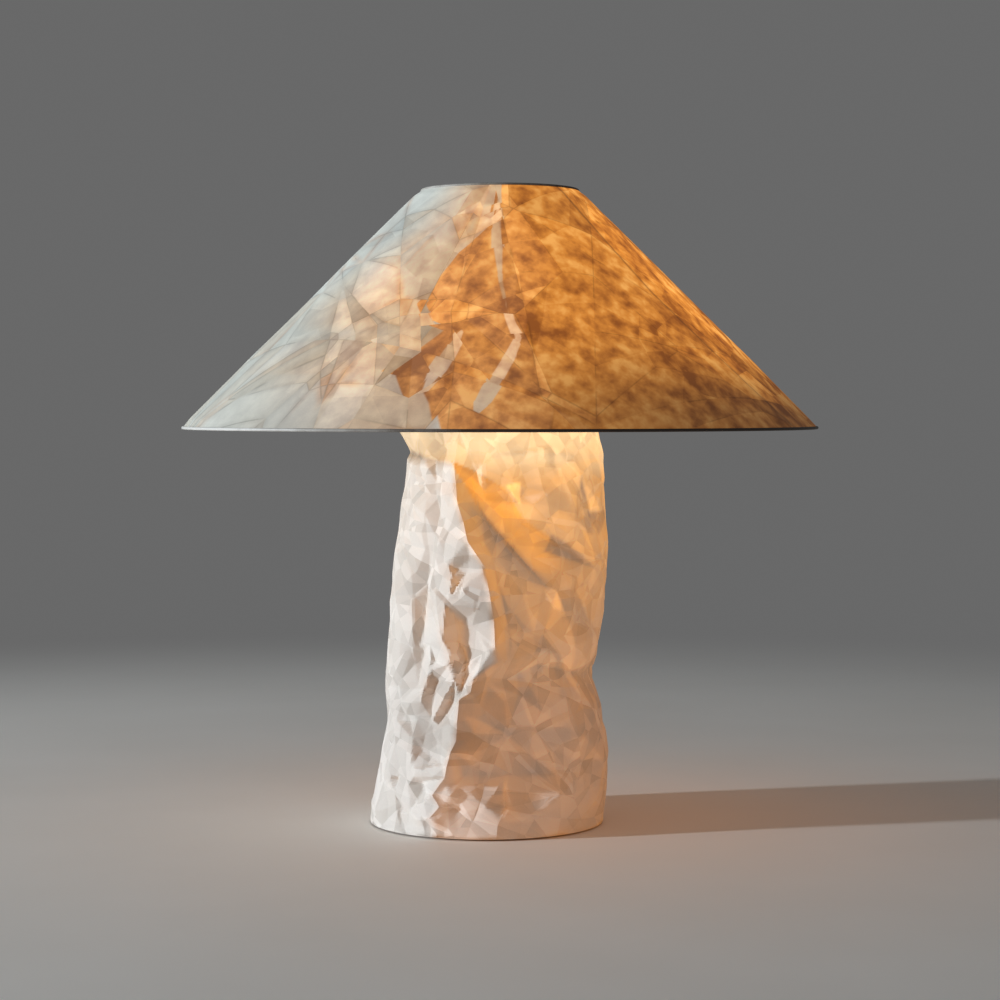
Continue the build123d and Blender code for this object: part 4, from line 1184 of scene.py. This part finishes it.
def felt_finish():
    """Pressed felt: matted short hairs."""
    material, tree, shader = new_finish("pressed_felt", 0.95, Sheen_Weight=0.35, Sheen_Roughness=0.5)
    hair = noise(tree, object_place(tree), 1300.0, 4.0, 0.7)
    colour = ramp(tree, hair, ((0.3, (0.018, 0.016, 0.015)), (0.7, (0.050, 0.046, 0.042))))
    tree.links.new(colour, shader.inputs["Base Color"])
    bumped(tree, shader, hair, 0.6, 0.8 * MM)
    return material


def globe_finish():
    """Opal globe with the lamp on: a warm light that fades a little towards its neck."""
    material, tree, shader = new_finish("lit_opal", 0.35, Emission_Strength=2.2)
    wear = grouped(tree, HANDLING, {"Patches": 40.0, "Specks": 600.0})
    colour = ramp(tree, wear["Tint"], ((0.3, (0.86, 0.82, 0.74)), (0.7, (0.90, 0.87, 0.80))))
    tree.links.new(colour, shader.inputs["Base Color"])
    low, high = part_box("bulb_globe")
    height = put(tree, "ShaderNodeSeparateXYZ", {0: object_place(tree)}).outputs["Z"]
    share = step_up(tree, height, float(low[2]), float((low[2] + high[2]) / 2))
    glow = blend_colour(tree, share, (0.70, 0.34, 0.11), (1.0, 0.70, 0.36))
    tree.links.new(glow, shader.inputs["Emission Color"])
    return material


def dress(finish, *nodes):
    """Gives CAD nodes a finish in place of the one they were packed with."""
    for name in nodes:
        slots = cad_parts[name].data.materials
        slots.clear()
        slots.append(finish)


def stand_in(piece, finish, node, body):
    """A new piece takes the place of a CAD node and moves with its body."""
    piece.data.materials.append(finish)
    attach(piece, body)
    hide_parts(node)


def dress_lamp():
    """Every visible piece gets its finish."""
    stand_in(column_piece(), column_finish(), "paper_column", "base")
    stand_in(shade_piece(), shade_finish(), "shade_paper", "shade")
    stand_in(felt_piece(), felt_finish(), "felt_pad", "base")

    dress(rim_finish(), "shade_lower_rim", "shade_upper_rim")
    coat = worn_finish("off_white_coat", (0.66, 0.64, 0.58), (0.76, 0.74, 0.69), 0.42, 0.0, 0.2)
    dress(coat, "carrier_ring", "carrier_arms", "carrier_hub")
    dress(coat, "cage_struts", "cage_lower_ring", "cage_middle_ring", "cage_top_ring")
    zinc = worn_finish("zinc_plate", (0.36, 0.37, 0.38), (0.52, 0.53, 0.54), 0.36, 1.0)
    dress(zinc, "threaded_tube", "spacer_tube", "base_nut", "base_washer")
    dress(zinc, "spider_nut", "cage_spider", "cap_grub_screw")
    steel = worn_finish("turned_steel", (0.17, 0.17, 0.175), (0.30, 0.30, 0.31), 0.42, 1.0, 0.2)
    dress(steel, "ballast_plate")
    moulded = worn_finish("ivory_moulding", (0.62, 0.59, 0.52), (0.72, 0.69, 0.62), 0.40, 0.0, 0.1)
    dress(moulded, "lampholder_cap", "lampholder_skirt", "lower_shade_ring", "upper_shade_ring")
    dress(moulded, "cord_gland")
    glazed = worn_finish("glazed_ceramic", (0.74, 0.73, 0.69), (0.82, 0.81, 0.77), 0.18, 0.0, 0.03)
    dress(glazed, "lampholder_insert")
    brass = worn_finish("sheet_brass", (0.42, 0.28, 0.09), (0.62, 0.45, 0.18), 0.30, 1.0)
    dress(brass, "screw_shell", "centre_contact", "terminal_screws", "bulb_contact")
    black = worn_finish("black_insulator", (0.010, 0.010, 0.012), (0.022, 0.022, 0.025), 0.25)
    dress(black, "bulb_insulator")
    rolled = worn_finish("rolled_aluminium", (0.50, 0.50, 0.50), (0.66, 0.66, 0.66), 0.30, 1.0)
    dress(rolled, "bulb_cap")
    white = worn_finish("white_bulb_body", (0.70, 0.69, 0.66), (0.78, 0.77, 0.74), 0.36, 0.0, 0.05)
    dress(white, "bulb_housing", "bulb_led_board")
    dress(globe_finish(), "bulb_globe")
    dress(wood_finish(), "base_board")


def floor_stage():
    """A pale floor that turns into the plain grey of the background away from the lamp."""
    mesh = bpy.data.meshes.new("floor")
    sides = ((-1, -1), (1, -1), (1, 1), (-1, 1))
    corners = [(x * FLOOR_REACH, y * FLOOR_REACH, FLOOR_LEVEL) for x, y in sides]
    mesh.from_pydata(corners, [], [(0, 1, 2, 3)])
    floor = placed("floor", mesh)
    material, tree, shader = new_finish("pale_floor", 0.7)
    place = object_place(tree)
    cloud = noise(tree, place, 5.0, 3.0)
    colour = ramp(tree, cloud, ((0.3, (0.92, 0.90, 0.86)), (0.7, (0.95, 0.935, 0.90))))
    tree.links.new(colour, shader.inputs["Base Color"])
    away = put(tree, "ShaderNodeVectorMath", {0: place}, operation="LENGTH").outputs["Value"]
    path = put(tree, "ShaderNodeLightPath").outputs
    seen = math(tree, "MAXIMUM", path["Is Camera Ray"], path["Is Glossy Ray"])
    seen = math(tree, "MAXIMUM", seen, path["Is Transmission Ray"])
    share = times(tree, step_up(tree, away, FLOOR_PALE, FLOOR_GREY), seen)
    backdrop = put(tree, "ShaderNodeEmission", {"Color": SKY_COLOUR, "Strength": 1.0})
    mixed = put(tree, "ShaderNodeMixShader", {0: share, 1: shader.outputs[0], 2: backdrop.outputs[0]})
    leave = next(node for node in tree.nodes if node.type == "OUTPUT_MATERIAL")
    tree.links.new(mixed.outputs[0], leave.inputs["Surface"])
    mesh.materials.append(material)


def new_light(name, kind, power, colour, place):
    """A light of the scene at a place."""
    light = bpy.data.lights.new(name, kind)
    light.energy = power
    light.color = colour
    lamp = placed(name, light)
    lamp.location = place
    return lamp


def light_and_camera():
    """One soft key from the left, an even sky, the lamp's own bulb, and the photograph's camera."""
    scene = bpy.context.scene
    level = np.cos(KEY_ELEVATION)
    towards = np.array([np.cos(KEY_TURN) * level, np.sin(KEY_TURN) * level, np.sin(KEY_ELEVATION)])
    place = towards * KEY_DISTANCE + np.array([0, 0, KEY_AIM_HEIGHT])
    key = new_light("key", "AREA", KEY_POWER, KEY_COLOUR, place)
    key.data.size = KEY_SIZE
    key.rotation_euler = (pi / 2 - KEY_ELEVATION, 0, KEY_TURN + pi / 2)

    low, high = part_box("bulb_globe")
    globe_radius = (high[0] - low[0]) / 2
    bulb = new_light("bulb_light", "POINT", BULB_POWER, BULB_COLOUR, (0, 0, high[2] - globe_radius))
    bulb.data.shadow_soft_size = globe_radius + MM
    bulb.visible_camera = False

    world = bpy.data.worlds.new("even_sky")
    world.use_nodes = True
    world.node_tree.nodes["Background"].inputs[0].default_value = SKY_COLOUR
    scene.world = world

    camera_data = bpy.data.cameras.new("camera")
    camera_data.lens = CAMERA_LENS
    camera_data.sensor_width = SENSOR_WIDTH
    camera = placed("camera", camera_data)
    camera.location = (0, -CAMERA_DISTANCE, CAMERA_HEIGHT)
    camera.rotation_euler = (pi / 2 - CAMERA_PITCH, 0, 0)
    scene.camera = camera
    scene.view_settings.view_transform = "Standard"


dress_lamp()
floor_stage()
light_and_camera()
